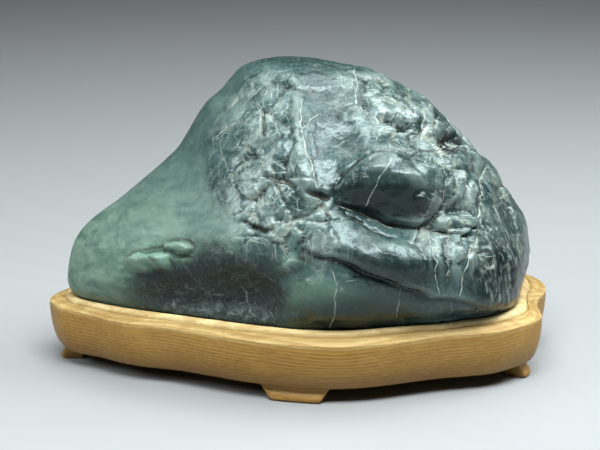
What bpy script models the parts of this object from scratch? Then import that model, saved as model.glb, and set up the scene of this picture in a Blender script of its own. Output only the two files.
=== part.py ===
"""A scholar's rock on its carved wooden stand.

The stone is one solid. Its form is a radius measured out from a heart point inside it: an
outline gives the radius round the broad face, a front and a back depth give it towards the
viewer and away, and a superellipse joins the two. Lumps, hollows, ledges and pits are then
added on the face. The stand is one solid too: a rim profile carried round a lobed outline,
with a recess cut to the stone and five low feet left standing under the wall.

Lengths in this file are millimetres, and the meshes are written in metres.
+X runs along the stone, +Y away from its broad face, +Z up. The origin is on the surface
that the feet stand on, below the middle of the stand.
"""
import math

import bpy
import numpy as np

MM = 0.001

# ---------------------------------------------------------------- driving dimensions

# The stone's heart, and the broad face through it, which leans back by this angle.
HEART = np.array([20.0, 0.0, 78.0])
FACE_LEAN = math.radians(17.0)
# Marks on the face are laid out as seen from this point, a good metre in front.
EYE = np.array([0.0, -999.9, 396.6])

FRONT_DEPTH = 75.5          # heart to the front of the stone, square to the face
BACK_DEPTH = 72.0           # heart to the back
STONE_BASE_Z = 34.0         # flat underside of the stone
BASE_ROUNDING = 1.6         # soft edge where the sides meet the flat underside
RIM_CLEAR = 46.5            # lumps and ledges fade out above this height
RIGHT_SWEEP = 26.0          # how far the right end swings back
RIGHT_SWEEP_LENGTH = 130.0  # distance from the heart at which it has swung that far

# Outline of the broad face, right end first and turning by the top: across and up the
# face from the heart.
FACE_OUTLINE = (
    (126, 3), (125, 12), (123, 19), (115, 30), (107, 44), (100, 54), (93, 57), (88, 65),
    (81, 73), (75, 79), (62, 92), (50, 98), (37, 105), (28, 110), (18, 113), (5, 115),
    (-7, 117), (-20, 118), (-33, 119), (-45, 117), (-52, 115), (-58, 112), (-64, 105),
    (-71, 97), (-77, 93), (-83, 85), (-90, 73), (-97, 61), (-109, 50), (-121, 40), (-134, 29),
    (-147, 20), (-153, 16), (-159, 9), (-163, 3), (-166, -8), (-167, -17), (-168, -25),
    (-165, -31), (-152, -37), (-135, -45), (-120, -51), (-103, -59), (-81, -68), (-54, -73),
    (-26, -76), (-7, -76), (12, -74), (26, -70), (37, -65), (60, -59), (81, -53), (90, -49),
    (101, -45), (109, -42), (115, -39), (118, -33), (121, -25), (124, -17), (126, -11),
    (127, -3),
)
OUTLINE_ROUNDING = math.radians(1.6)

# Superellipse power of the front, by the direction round the face in degrees: 2 is
# an ellipse, less is a sharper wedge, more is a squarer shoulder.
FRONT_POWER = ((0, 2.6), (45, 2.1), (90, 1.9), (135, 1.55), (180, 1.4), (215, 1.5),
               (250, 1.9), (270, 2.0), (315, 2.3), (330, 3.0), (341, 4.5), (350, 3.4),
               (360, 2.6))
BACK_POWER = 2.2

# Lumps and hollows of the broad face: name, across and up the face from the heart, half
# width, half height, turn in degrees, height, edge power (2 a soft dome, 5 a crisp
# shoulder), and lean (how much more the upper edge stands out than the lower).
FACE_FORMS = (
    ("flank lump", -121, -11, 8, 6, -8, 6, 4, 0.5),
    ("flank lump", -109, -7, 8, 5, -6, 6.5, 4, 0.5),
    ("flank lump", -95, -1, 10, 4, 14, 5, 4, 0.5),
    ("front swell", -1, -25, 114, 35, -3, 1, 2.2, 0),
    ("dark hollow", -78, -31, 49, 17, -4, -8.5, 2.8, 0.25),
    ("hollow foot", -44, -35, 22, 15, -20, -3.5, 2.4, 0),
    ("broken ground", -42, 42, 34, 49, 0, 5, 3.4, -0.5),
    ("ridge strip", -19, 71, 6, 39, 7, 2.6, 5, 0),
    ("slab", 4, 63, 19, 33, 12, -3.5, 3, 0),
    ("crown", -6, 109, 44, 10, -6, 2, 3, 0),
    ("knob", 38, 36, 35, 22, -4, 11, 5, 0.75),
    ("knob foot", 28, 19, 29, 9, -16, -6, 3, 0),
    ("knob left lobe", 29, 54, 10, 8, 10, 2.5, 3, 0),
    ("knob right lobe", 53, 51, 15, 8, -4, 4, 3, 0.5),
    ("top lump", 34, 86, 11, 7, -25, 3.5, 4, 0.2),
    ("top lump", 13, 84, 9, 7, 0, 2, 3, 0),
    ("top lump", 48, 84, 10, 8, 0, 2.5, 3, 0.2),
    ("shoulder lump", 81, 54, 14, 6, -12, 5, 4, 0.4),
    ("shoulder pit", 76, 66, 8, 6, -10, -4.5, 3, 0),
    ("side block", 59, 25, 7, 8, 0, 3.5, 5, 0.4),
    ("side block", 78, 35, 5, 10, 0, 5, 6, 0.3),
    ("side block", 87, 31, 4, 10, 0, 3.5, 6, 0.3),
    ("side block", 81, 12, 11, 6, 0, 4.5, 6, 0.4),
    ("lower band", 26, -2, 40, 22, -13, 5.5, 4, -0.35),
    ("band pillow", 38, -7, 25, 13, -12, 4.5, 3.4, -0.3),
    ("nub", -26, -12, 5, 6, 0, 4, 3, 0.3),
    ("base lobe", 13, -37, 44, 17, 2, 6.5, 3, 0.8),
    ("right column", 82, -9, 9, 16, -4, 4.5, 5, 0.2),
    ("right column", 65, -11, 6, 18, 0, 2.5, 4, 0),
    ("right column", 71, 14, 6, 5, 0, 3, 4, 0.3),
    ("right end", 107, -11, 14, 22, 0, 3.5, 4, 0.3),
    ("right foot", 80, -40, 23, 8, 0, 2.5, 3, 0.3),
)
# The same for the far side, seen from the front through the stone.
BACK_FORMS = (
    ("left swell", -70, 0, 46, 30, 20, 6, 3, 0),
    ("back hollow", -10, 10, 34, 26, -30, -7, 2.6, 0),
    ("upper swell", 10, 66, 40, 26, 10, 6, 3.5, 0),
    ("right swell", 74, 8, 34, 36, 0, 6, 3.5, 0),
    ("low swell", 10, -36, 44, 16, 0, 4, 3, 0),
    ("pit", 40, 30, 12, 9, 30, -4, 3, 0),
    ("pit", -48, 52, 15, 9, -40, -4, 3, 0),
)

# Ledges, joints and open cracks of the face: name, depth of the groove, its half width, how
# far the left side of the line stands proud of the right, how far from the line that fades,
# and the line itself.
FACE_LEDGES = (
    ("lower ledge", 3, 1.4, 7, 14, (
        (-20, -2), (-12, -6), (-4, -9), (5, -10), (14, -14), (22, -19), (36, -23), (46, -28),
        (55, -30), (62, -35), (75, -35), (88, -38), (100, -41))),
    ("knob foot", 4, 1.5, 7, 13, (
        (2, 28), (8, 24), (18, 22), (27, 19), (36, 14), (46, 12), (55, 11), (64, 15), (69, 22),
        (72, 29))),
    ("knob brim", 1.2, 1.2, -1.2, 9, (
        (2, 27), (2, 36), (6, 43), (13, 50), (19, 55), (28, 60), (38, 61), (48, 59), (59, 54),
        (67, 51), (72, 44))),
    ("band crack", 2, 1.1, 1, 8, (
        (7, 21), (13, 17), (19, 14), (27, 9), (36, 5), (45, 4))),
    ("strip edge", 1.2, 1, -2.6, 10, (
        (-18, 95), (-19, 86), (-20, 79), (-18, 66), (-16, 59), (-12, 49), (-11, 42), (-9, 37),
        (-7, 33))),
    ("top step", 1.6, 1, 2.2, 7, (
        (-27, 108), (-29, 102), (-25, 99), (-17, 99), (-9, 98), (0, 99))),
    ("long crack", 2.2, 1, 0.8, 6, (
        (-46, 90), (-44, 86), (-43, 80), (-43, 74), (-42, 67))),
    ("crack A", 4, 1.4, 1, 8, (
        (-44, 43), (-39, 43), (-33, 41), (-28, 40), (-22, 35))),
    ("crack B", 4, 1.5, 1.2, 8, (
        (-58, 16), (-52, 12), (-46, 10), (-41, 8), (-36, 10))),
    ("hole", 5, 1.6, 1.5, 7, (
        (-17, 34), (-12, 33), (-7, 32), (-1, 29))),
    ("chain", 1.8, 1.1, 1.2, 8, (
        (-6, 25), (-12, 21), (-17, 18), (-24, 17), (-30, 13), (-35, 10))),
    ("fold", 2, 1.5, -1.5, 9, (
        (-123, -7), (-115, -3), (-107, -3), (-101, -5), (-94, -8), (-87, -9))),
    ("column joint", 1.8, 1.1, 0.8, 8, (
        (73, 43), (72, 35), (71, 26), (67, 17), (65, 4), (65, -7), (66, -15), (67, -26),
        (68, -33))),
    ("right joint", 1.2, 1, -0.8, 8, (
        (98, 52), (95, 43), (95, 33), (93, 24), (94, 14), (91, 4), (88, -7), (85, -16),
        (81, -24), (80, -34))),
)

# Stone mesh: squares along one edge of the grid, and the share of faces kept.
STONE_GRID = 72
STONE_KEEP = 0.087
STONE_PROPORTIONS = np.array([150.0, 82.0, 96.0])

# The stand.
SHOULDER_Z = 39.5           # crisp outer edge of the rim
RECESS_Z = 33.7             # floor that the stone rests on, just below its underside
RECESS_GAP = 0.95          # clearance round the stone
CONTACT_Z = 46.0            # height at which the rim meets the stone
WALL_FOOT_Z = 10.0          # underside of the wall
WALL_INSET = 8.5            # how far the wall has curved in there
LIP_DROP = 0.6              # a thin lip hangs below the wall between the feet
FOOT_THICKNESS = 11.0

# Rim profile: share of the way from the shoulder to the recess, and height. A sloping band,
# a thin groove, and a rounded bead against the stone.
RIM_PROFILE = ((0.52, 43.1), (0.555, 42.7), (0.60, 43.3), (0.68, 44.7), (0.79, 45.8),
               (0.91, 46.4))
RIM_STEPS = 57              # even places round the rim
WALL_STEPS = (0.45, 0.8, 0.95)     # heights down the wall, as shares of its drop
# Foot profile: share of the drop below the wall, and how far it has turned outwards.
FOOT_PROFILE = ((0.3, -0.3), (0.6, 0.6), (0.85, 2.4), (1.0, 2.1))

# Shoulder outline of the rim, anticlockwise seen from above from the left tip.
RIM_OUTLINE = (
    (-161, 5), (-157, -6), (-151, -14), (-143, -19), (-134, -24), (-117, -36), (-104, -42),
    (-79, -50), (-57, -60), (-36, -69), (-17, -75), (1, -79), (24, -81), (48, -77),
    (69, -70), (90, -63), (107, -59), (124, -54), (136, -46), (145, -38), (150.5, -31),
    (151.5, -20), (151, -9), (153, 3), (158, 13), (161, 24), (160, 40), (152, 55),
    (134, 66), (114, 71), (90, 77), (60, 83.5), (30, 86.8), (0, 85.6), (-30, 81), (-60, 72),
    (-86, 63), (-108, 58), (-128, 50), (-143, 38), (-153, 24), (-159, 14),
)
# Feet: a point on the outline near the middle of each, half length where it stands,
# and half length where it meets the wall.
FEET = (
    ((-158, 13), 12.0, 14.5),
    ((-3, -78), 15.0, 24.0),
    ((151, -26), 12.0, 14.5),
    ((118, 70), 12.0, 22.0),
    ((-90, 62), 12.0, 22.0),
)


# ---------------------------------------------------------------- curves and fields

def smooth_step(low, high, value):
    """0 below low, 1 above high, and 3u^2 - 2u^3 of the way u between them."""
    u = np.clip((value - low) / (high - low), 0.0, 1.0)
    return u * u * (3.0 - 2.0 * u)


def closed_curve(points, count):
    """Points at equal steps along a smooth closed curve through the given points.

    Each stretch is a cubic whose end slopes are those of the circle-like chord between the
    neighbours, with the chord lengths as the parameter, so close points make tight turns.
    """
    knots = np.array(points, float)
    chord = np.linalg.norm(np.roll(knots, -1, 0) - knots, axis=1)
    before = np.roll(chord, 1)
    slope = (np.roll(knots, -1, 0) - knots) / chord[:, None]
    slope_before = np.roll(slope, 1, 0)
    tangent = (slope * before[:, None] + slope_before * chord[:, None])
    tangent /= (before + chord)[:, None]
    u = np.linspace(0.0, 1.0, 24, endpoint=False)[None, :, None]
    start, end = knots[:, None], np.roll(knots, -1, 0)[:, None]
    leave, arrive = tangent[:, None], np.roll(tangent, -1, 0)[:, None]
    span = chord[:, None, None]
    curve = ((2 * u**3 - 3 * u**2 + 1) * start + (u**3 - 2 * u**2 + u) * span * leave
             + (3 * u**2 - 2 * u**3) * end + (u**3 - u**2) * span * arrive).reshape(-1, 2)
    return resample(curve, np.arange(count) / count)


def resample(loop, where):
    """Points of a closed loop at the given shares of its length."""
    closed = np.vstack([loop, loop[:1]])
    run = np.concatenate([[0.0], np.cumsum(np.linalg.norm(np.diff(closed, axis=0), axis=1))])
    return np.stack([np.interp(where * run[-1], run, closed[:, k]) for k in (0, 1)], 1)


def form_height(across, up, forms):
    """Sum of the lumps: each is height * (1 + lean * up) * exp(-distance^power), where the
    distance and the way up are measured in its own ellipse.
    """
    total = np.zeros_like(across)
    for _, s, t, half_s, half_t, turn, height, power, lean in forms:
        c, d = math.cos(math.radians(turn)), math.sin(math.radians(turn))
        u = ((across - s) * c + (up - t) * d) / half_s
        v = ((up - t) * c - (across - s) * d) / half_t
        total += height * (1.0 + lean * np.clip(v, -1.2, 1.2)) * np.exp(-np.hypot(u, v) ** power)
    return total


def line_field(across, up, line):
    """Distance to a line of points, the side of it (+1 left), and the share of its length.

    Each point takes the nearest of the line's stretches; on a stretch the nearest place is
    the foot of the perpendicular, held between its ends.
    """
    marks = np.array(line, float)
    start, stretch = marks[:-1], np.diff(marks, axis=0)
    square = (stretch ** 2).sum(1)
    gap_s, gap_t = across[:, None] - start[:, 0], up[:, None] - start[:, 1]
    u = np.clip((gap_s * stretch[:, 0] + gap_t * stretch[:, 1]) / square, 0.0, 1.0)
    gap_s, gap_t = gap_s - u * stretch[:, 0], gap_t - u * stretch[:, 1]
    distance = np.hypot(gap_s, gap_t)
    nearest = distance.argmin(1)
    row = np.arange(len(across))
    side = np.sign(stretch[nearest, 0] * gap_t[row, nearest]
                   - stretch[nearest, 1] * gap_s[row, nearest])
    run = np.concatenate([[0.0], np.cumsum(np.sqrt(square))])
    share = (run[nearest] + u[row, nearest] * np.sqrt(square[nearest])) / run[-1]
    return distance[row, nearest], side, share


def ledge_height(across, up, ledges):
    """Sum of the ledges: a step that fades from the line, and a groove along it.

    step/2 * side * exp(-distance/reach) - depth * exp(-(distance/half width)^2), both times
    sqrt(sin) along the line, so that it dies out at its ends.
    """
    total = np.zeros_like(across)
    for _, depth, half_width, step, reach, line in ledges:
        distance, side, share = line_field(across, up, line)
        fade = np.sqrt(np.sin(np.pi * np.clip(share, 0.0, 1.0)).clip(0.0))
        rise = 0.5 * step * side * np.exp(-distance / reach) * np.tanh(distance / half_width)
        total += fade * (rise - depth * np.exp(-(distance / half_width) ** 2))
    return total


# ---------------------------------------------------------------- the stone

ACROSS = np.array([1.0, 0.0, 0.0])
UP_FACE = np.array([0.0, math.sin(FACE_LEAN), math.cos(FACE_LEAN)])
AWAY = np.array([0.0, math.cos(FACE_LEAN), -math.sin(FACE_LEAN)])


def outline_table():
    """The outline as a radius for every turn, rounded by a Gaussian on the circle."""
    marks = np.array(FACE_OUTLINE, float)
    turn = np.arctan2(marks[:, 1], marks[:, 0]) % (2 * np.pi)
    order = np.argsort(turn)
    grid = np.linspace(0.0, 2 * np.pi, 1440, endpoint=False)
    radius = np.interp(grid, turn[order], np.hypot(*marks[order].T), period=2 * np.pi)
    waves = np.fft.rfft(radius)
    waves *= np.exp(-0.5 * (np.arange(len(waves)) * OUTLINE_ROUNDING) ** 2)
    return grid, np.fft.irfft(waves, len(grid))


def cube_ball(squares):
    """Unit directions and faces of a cube's grid blown up to a ball, its seams shared.

    The corners of the little squares are whole numbers on the cube's skin, so that equal
    corners of two sides are found and joined; an equal-angle warp evens them out.
    """
    step = np.arange(squares + 1)
    a, b = (side.ravel() for side in np.meshgrid(step, step, indexing="ij"))
    low, high = np.zeros_like(a), np.full_like(a, squares)
    sides = [(low, b, a), (high, a, b), (a, low, b), (b, high, a), (b, a, low), (a, b, high)]
    corners = np.concatenate([np.stack(side, 1) for side in sides])
    points, number = np.unique(corners, axis=0, return_inverse=True)
    number = number.reshape(6, squares + 1, squares + 1)
    faces = np.stack([number[:, :-1, :-1], number[:, 1:, :-1],
                      number[:, 1:, 1:], number[:, :-1, 1:]], -1).reshape(-1, 4)
    direction = np.tan((points / squares * 2.0 - 1.0) * np.pi / 4.0)
    return direction / np.linalg.norm(direction, axis=1, keepdims=True), faces


def on_face(points):
    """Across and up the face from the heart, where the line from EYE crosses it."""
    ray, heart = points - EYE, HEART - EYE
    scale = (heart @ AWAY) / (ray @ AWAY)
    return ray @ ACROSS * scale - heart @ ACROSS, ray @ UP_FACE * scale - heart @ UP_FACE


def stone_surface(direction):
    """Points of the stone along directions from the heart.

    radius = ((cos/outline)^p + (sin/depth)^p)^(-1/p), with the sine and cosine of the angle
    to the broad face; lumps then lengthen it. The right end swings back by the square of
    the distance across, and what would lie below the underside is pressed flat onto it.
    """
    across, up, away = direction @ ACROSS, direction @ UP_FACE, direction @ AWAY
    turn = np.arctan2(up, across)
    rim = np.interp(turn, *outline_table(), period=2 * np.pi)
    front = np.interp(np.degrees(turn) % 360.0, *np.array(FRONT_POWER).T)
    power = np.where(away < 0.0, front, BACK_POWER)
    depth = np.where(away < 0.0, FRONT_DEPTH, BACK_DEPTH)
    radius = ((np.hypot(across, up) / rim) ** power + (np.abs(away) / depth) ** power)
    radius = radius ** (-1.0 / power)

    facing = smooth_step(0.02, 0.30, -away)
    averted = smooth_step(0.02, 0.40, away)
    points = swept(direction, radius)
    for _ in range(3):
        s, t = on_face(points)
        height = facing * form_height(s, t, FACE_FORMS) + averted * form_height(s, t, BACK_FORMS)
        height *= smooth_step(RIM_CLEAR, RIM_CLEAR + 12.0, points[:, 2])
        points = swept(direction, radius + height)
    s, t = on_face(points)
    clear = facing * smooth_step(RIM_CLEAR, RIM_CLEAR + 3.0, points[:, 2])
    points = swept(direction, radius + height + clear * ledge_height(s, t, FACE_LEDGES))
    above = (points[:, 2] - STONE_BASE_Z) / BASE_ROUNDING
    points[:, 2] = STONE_BASE_Z + BASE_ROUNDING * np.logaddexp(0.0, above)
    return points


def swept(direction, radius):
    """Points at a radius from the heart, with the right end swung back."""
    points = HEART + direction * radius[:, None]
    reach = np.maximum(points[:, 0] - HEART[0], 0.0) / RIGHT_SWEEP_LENGTH
    return points + np.outer(RIGHT_SWEEP * reach ** 2, AWAY)


def stone_section(height, count):
    """The stone's outline at a height, as a loop of points, found by halving.

    Round the heart, the angle below the horizontal is halved between two bounds until the
    surface point in that direction is at the height.
    """
    azimuth = np.linspace(0.0, 2 * np.pi, count, endpoint=False)
    low, high = np.full(count, -1.2), np.full(count, 0.3)
    for _ in range(24):
        middle = 0.5 * (low + high)
        ring = np.stack([np.cos(middle) * np.cos(azimuth), np.cos(middle) * np.sin(azimuth),
                         np.sin(middle)], 1)
        surface = stone_surface(ring)
        higher = surface[:, 2] > height
        high = np.where(higher, middle, high)
        low = np.where(higher, low, middle)
    return surface[:, :2]


def new_object(name, points, faces, material):
    """A mesh object with points given in millimetres."""
    mesh = bpy.data.meshes.new(name)
    mesh.from_pydata((points * MM).tolist(), [], faces.tolist())
    mesh.materials.append(material)
    obj = bpy.data.objects.new(name, mesh)
    bpy.context.collection.objects.link(obj)
    return obj


def plain_material(name, colour, roughness):
    """A Principled material of one colour."""
    material = bpy.data.materials.new(name)
    material.use_nodes = True
    shader = material.node_tree.nodes["Principled BSDF"]
    shader.inputs["Base Color"].default_value = (*colour, 1.0)
    shader.inputs["Roughness"].default_value = roughness
    shader.inputs["Metallic"].default_value = 0.0
    return material


def make_stone():
    """The stone: a ball grid stretched to its proportions, then thinned where it is flat."""
    ball, faces = cube_ball(STONE_GRID)
    direction = ball * STONE_PROPORTIONS
    direction /= np.linalg.norm(direction, axis=1, keepdims=True)
    stone = new_object("stone", stone_surface(direction), faces,
                       plain_material("dark green stone", (0.045, 0.075, 0.065), 0.35))
    stone.data.shade_smooth()
    thin = stone.modifiers.new("thin", "DECIMATE")
    thin.ratio = STONE_KEEP
    return stone


# ---------------------------------------------------------------- the stand

def rim_stations():
    """Places round the rim, as shares of its length, and the drop of a foot at each.

    Even steps, with closer ones where a foot ends. A foot's end is a smooth step from the
    floor up to the wall.
    """
    fine = closed_curve(RIM_OUTLINE, 4000)
    length = np.linalg.norm(np.roll(fine, -1, 0) - fine, axis=1).sum()
    scoop = np.linspace(0.0, 1.0, 5)
    places = [np.arange(RIM_STEPS) / RIM_STEPS]
    middles = []
    for mark, stand, top in FEET:
        middle = np.argmin(np.linalg.norm(fine - mark, axis=1)) / len(fine)
        middles.append(middle)
        for side in (-1.0, 1.0):
            places.append(middle + side * (stand + (top - stand) * scoop) / length)
    where = np.unique(np.round(np.concatenate(places) % 1.0, 5))
    crowded = np.diff(where, append=where[0] + 1.0) * length < 0.25
    where = where[~crowded]
    drop = np.full(len(where), LIP_DROP)
    for middle, (_, stand, top) in zip(middles, FEET):
        apart = np.abs((where - middle + 0.5) % 1.0 - 0.5) * length
        drop = np.maximum(drop, WALL_FOOT_Z * (1.0 - smooth_step(stand, top, apart)))
    return resample(fine, where), drop


def recess_edge(outline, inward):
    """For each place on the outline, the point of the recess that faces it.

    The recess is the stone's own outline at the rim's height, moved out by the gap.
    """
    loop = stone_section(CONTACT_Z, 1440)
    along = np.roll(loop, -1, 0) - np.roll(loop, 1, 0)
    along /= np.linalg.norm(along, axis=1, keepdims=True)
    loop = loop + RECESS_GAP * np.stack([along[:, 1], -along[:, 0]], 1)
    to_loop = loop[None] - outline[:, None]
    ahead = (to_loop * inward[:, None]).sum(2)
    aside = np.abs(to_loop[..., 0] * inward[:, 1:] - to_loop[..., 1] * inward[:, :1])
    aside[(ahead < 0.0) | (ahead > 60.0)] = np.inf
    return loop[aside.argmin(1)]


def make_stand():
    """The stand: rings of one profile, from the recess floor over the rim to the underside."""
    outline, drop = rim_stations()
    spine = outline * (0.62, 0.1)
    inward = spine - outline
    inward /= np.linalg.norm(inward, axis=1, keepdims=True)
    recess = recess_edge(outline, inward)

    def ring(plan, z):
        return np.column_stack([plan, np.broadcast_to(z, len(plan))])

    def inset(distance):
        return outline + inward * np.reshape(distance, (-1, 1))

    rings = [ring(recess * 0.5, RECESS_Z), ring(recess, RECESS_Z), ring(recess, CONTACT_Z)]
    rings += [ring(outline + (recess - outline) * share, z)
              for share, z in reversed(RIM_PROFILE)]
    rings.append(ring(outline, SHOULDER_Z))
    for u in WALL_STEPS:
        rings.append(ring(inset(WALL_INSET * (1.0 - math.sqrt(1.0 - u * u))),
                          SHOULDER_Z + (WALL_FOOT_Z - SHOULDER_Z) * u))
    share = drop / WALL_FOOT_Z
    rings.append(ring(inset(WALL_INSET), WALL_FOOT_Z))
    rings += [ring(inset(WALL_INSET - flare * share ** 2), WALL_FOOT_Z - down * drop)
              for down, flare in FOOT_PROFILE]
    rings.append(ring(inset(WALL_INSET + FOOT_THICKNESS), WALL_FOOT_Z - drop))
    rings.append(ring(inset(WALL_INSET + FOOT_THICKNESS + 1.0), WALL_FOOT_Z))
    rings.append(ring(outline * 0.35, WALL_FOOT_Z))

    count = len(outline)
    points = np.concatenate(rings + [[(0.0, 0.0, RECESS_Z)], [(0.0, 0.0, WALL_FOOT_Z)]])
    here = np.arange(count)
    after = (here + 1) % count
    steps = np.arange(len(rings) - 1)[:, None] * count
    quads = np.stack([steps + here, steps + count + here, steps + count + after,
                      steps + after], -1).reshape(-1, 4)
    last = (len(rings) - 1) * count
    top_fan = np.stack([np.full(count, len(points) - 2), here, after], 1)
    under_fan = np.stack([np.full(count, len(points) - 1), last + after, last + here], 1)
    faces = np.concatenate([quads[:, [0, 1, 2]], quads[:, [0, 2, 3]], top_fan, under_fan])
    stand = new_object("stand", points, faces,
                       plain_material("pale wood", (0.52, 0.33, 0.13), 0.45))
    stand.data.shade_smooth()
    stand.data.set_sharp_from_angle(angle=math.radians(35.0))
    return stand


def main():
    """Clear the scene and build the two pieces."""
    for obj in list(bpy.data.objects):
        bpy.data.objects.remove(obj)
    make_stone()
    make_stand()


main()
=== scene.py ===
# %% [markdown]
# # A scholar's rock on its carved stand
#
# A scholar's rock is a stone that was found, not carved, and is shown like a small mountain.
# This one is dark green and water-worn. Its left end is a long smooth flank. Its right half
# is broken by joints and veins into lumps, blocks and one glossy knob. It rests in a tray of
# pale wood whose recess was cut to its base.
#
# The lesson makes both pieces as surfaces worked out with numpy. The stone is a radius that
# depends on direction, with forms, ledges and broken facets added to it. The stand is one
# profile carried round a lobed outline. Colours come from procedural materials that read
# values stored on the points.

# %% Load the frame
import math

import bpy
import mathutils
import numpy as np
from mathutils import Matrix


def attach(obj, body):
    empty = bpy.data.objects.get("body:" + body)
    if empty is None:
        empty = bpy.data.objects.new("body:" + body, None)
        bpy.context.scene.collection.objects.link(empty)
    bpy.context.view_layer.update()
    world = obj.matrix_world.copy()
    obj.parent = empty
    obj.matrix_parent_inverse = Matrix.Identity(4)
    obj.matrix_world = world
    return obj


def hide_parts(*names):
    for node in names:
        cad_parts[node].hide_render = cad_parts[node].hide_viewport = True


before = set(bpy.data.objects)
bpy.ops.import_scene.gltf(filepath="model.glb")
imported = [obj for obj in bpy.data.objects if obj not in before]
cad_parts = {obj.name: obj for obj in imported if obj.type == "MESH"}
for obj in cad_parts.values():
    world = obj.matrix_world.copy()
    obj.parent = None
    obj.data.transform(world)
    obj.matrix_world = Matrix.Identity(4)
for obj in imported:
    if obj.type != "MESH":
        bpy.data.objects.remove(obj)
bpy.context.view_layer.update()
MM = 0.001

# %% [markdown]
# ## Tools for surfaces
#
# A surface here is an array of points and an array of faces. Blender takes both through
# from_pydata or foreach_set. Building whole arrays is much faster than adding points one by
# one, and the formula stays readable.
#
# Three small tools do most of the work: a smooth step, a field of distances to a drawn
# line, and a smooth random field, called value noise.

# %% Smooth step and value noise
HASH_WEIGHTS = np.array([73856093, 19349663, 83492791])
HASH_FACTOR = 1274126177
NOISE_SALT = 7919


def smooth_step(low, high, value):
    """0 below low, 1 above high, and 3u^2 - 2u^3 of the way u between them."""
    u = np.clip((value - low) / (high - low), 0.0, 1.0)
    return u * u * (3.0 - 2.0 * u)


def place_hash(place, salt):
    """A number from 0 to 1 for each whole-number place, scattered by mixing its bits."""
    mix = place @ HASH_WEIGHTS + salt
    mix = ((mix ^ (mix >> 13)) * HASH_FACTOR) & 0xFFFFFFFF
    return ((mix ^ (mix >> 16)) & 0xFFFF) / 0xFFFF


def lattice_noise(points, cell, seed):
    """Value noise from -1 to 1: random values at the corners of a lattice, blended inside.

    Each corner's value is a hash of its whole-number place. The eight corners round a point
    are weighted by u^2 (3 - 2u) along each axis.
    """
    place = points / cell
    corner = np.floor(place).astype(np.int64)
    u = place - corner
    fade = u * u * (3.0 - 2.0 * u)
    total = np.zeros(len(points))
    for step in np.ndindex(2, 2, 2):
        value = place_hash(corner + step, seed * NOISE_SALT) * 2.0 - 1.0
        total += np.prod(np.where(step, fade, 1.0 - fade), axis=1) * value
    return total


def rough_noise(points, cell, octaves, seed):
    """Octaves of value noise, each with half the cell and half the height of the last."""
    return sum(lattice_noise(points, cell * 0.5 ** k, seed + k) * 0.5 ** k
               for k in range(octaves))


print("noise at two places:", lattice_noise(np.array([[0.0, 0, 0], [3.3, 1, 2]]), 5.0, 1))

# %% [markdown]
# ## The broad face as a drawing board
#
# Every lump, crack and vein has its place on the stone's broad face, so the face is used as
# a drawing board. It stands through the stone's heart and leans back a little. Places on it
# are millimetres across and up from the heart. A point of the stone has the place where its
# line of sight from an eye in front crosses the board, so a drawn line keeps its course over
# deep and shallow ground alike.

# %% Directions of the stone and places on its face
# All of the shapes are in millimetres, with their origin where the frame has it. The eye is
# where the camera will stand.
HEART = np.array([20.0, 0.0, 78.0])
FACE_LEAN = math.radians(17.0)
EYE = np.array([0.0, -999.9, 396.6])
ACROSS = np.array([1.0, 0.0, 0.0])
UP_FACE = np.array([0.0, math.sin(FACE_LEAN), math.cos(FACE_LEAN)])
AWAY = np.array([0.0, math.cos(FACE_LEAN), -math.sin(FACE_LEAN)])


def on_face(points):
    """Across and up the face from the heart, where the line from the eye crosses it."""
    ray, heart = points - EYE, HEART - EYE
    scale = (heart @ AWAY) / (ray @ AWAY)
    return ray @ ACROSS * scale - heart @ ACROSS, ray @ UP_FACE * scale - heart @ UP_FACE


def line_field(across, up, line):
    """Distance to a line of points, the side of it (+1 left), and the share of its length.

    On each stretch the nearest place is the foot of the perpendicular, held between the
    stretch's ends. The nearest stretch wins.
    """
    marks = np.array(line, float)
    start, stretch = marks[:-1], np.diff(marks, axis=0)
    length = np.hypot(*stretch.T)
    run = np.concatenate([[0.0], np.cumsum(length)])
    best = np.full(len(across), np.inf)
    side, share = np.zeros(len(across)), np.zeros(len(across))
    for k, (s, t) in enumerate(start):
        ds, dt = stretch[k]
        u = np.clip(((across - s) * ds + (up - t) * dt) / length[k] ** 2, 0.0, 1.0)
        gap_s, gap_t = across - s - u * ds, up - t - u * dt
        distance = np.hypot(gap_s, gap_t)
        nearer = distance < best
        best = np.where(nearer, distance, best)
        side = np.where(nearer, np.sign(ds * gap_t - dt * gap_s), side)
        share = np.where(nearer, (run[k] + u * length[k]) / run[-1], share)
    return best, side, share


print("the heart's place on the face:", *on_face(HEART[None]))

# %% [markdown]
# ## The stone's base form
#
# Real stones of this kind are worn blanks: before any detail there is one rounded mass. It
# could be sculpted, or built from metaballs. A radius that depends on direction is chosen
# instead, because it is one formula, always closed, and each part of it has a meaning.
#
# The radius round the face is the stone's outline. Towards the front and the back it blends
# to two depths by a superellipse. A power of 2 gives an ellipse. A lower one gives the wedge
# of the flank, and a higher one the squarer right end. The right end also swings back.

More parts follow.
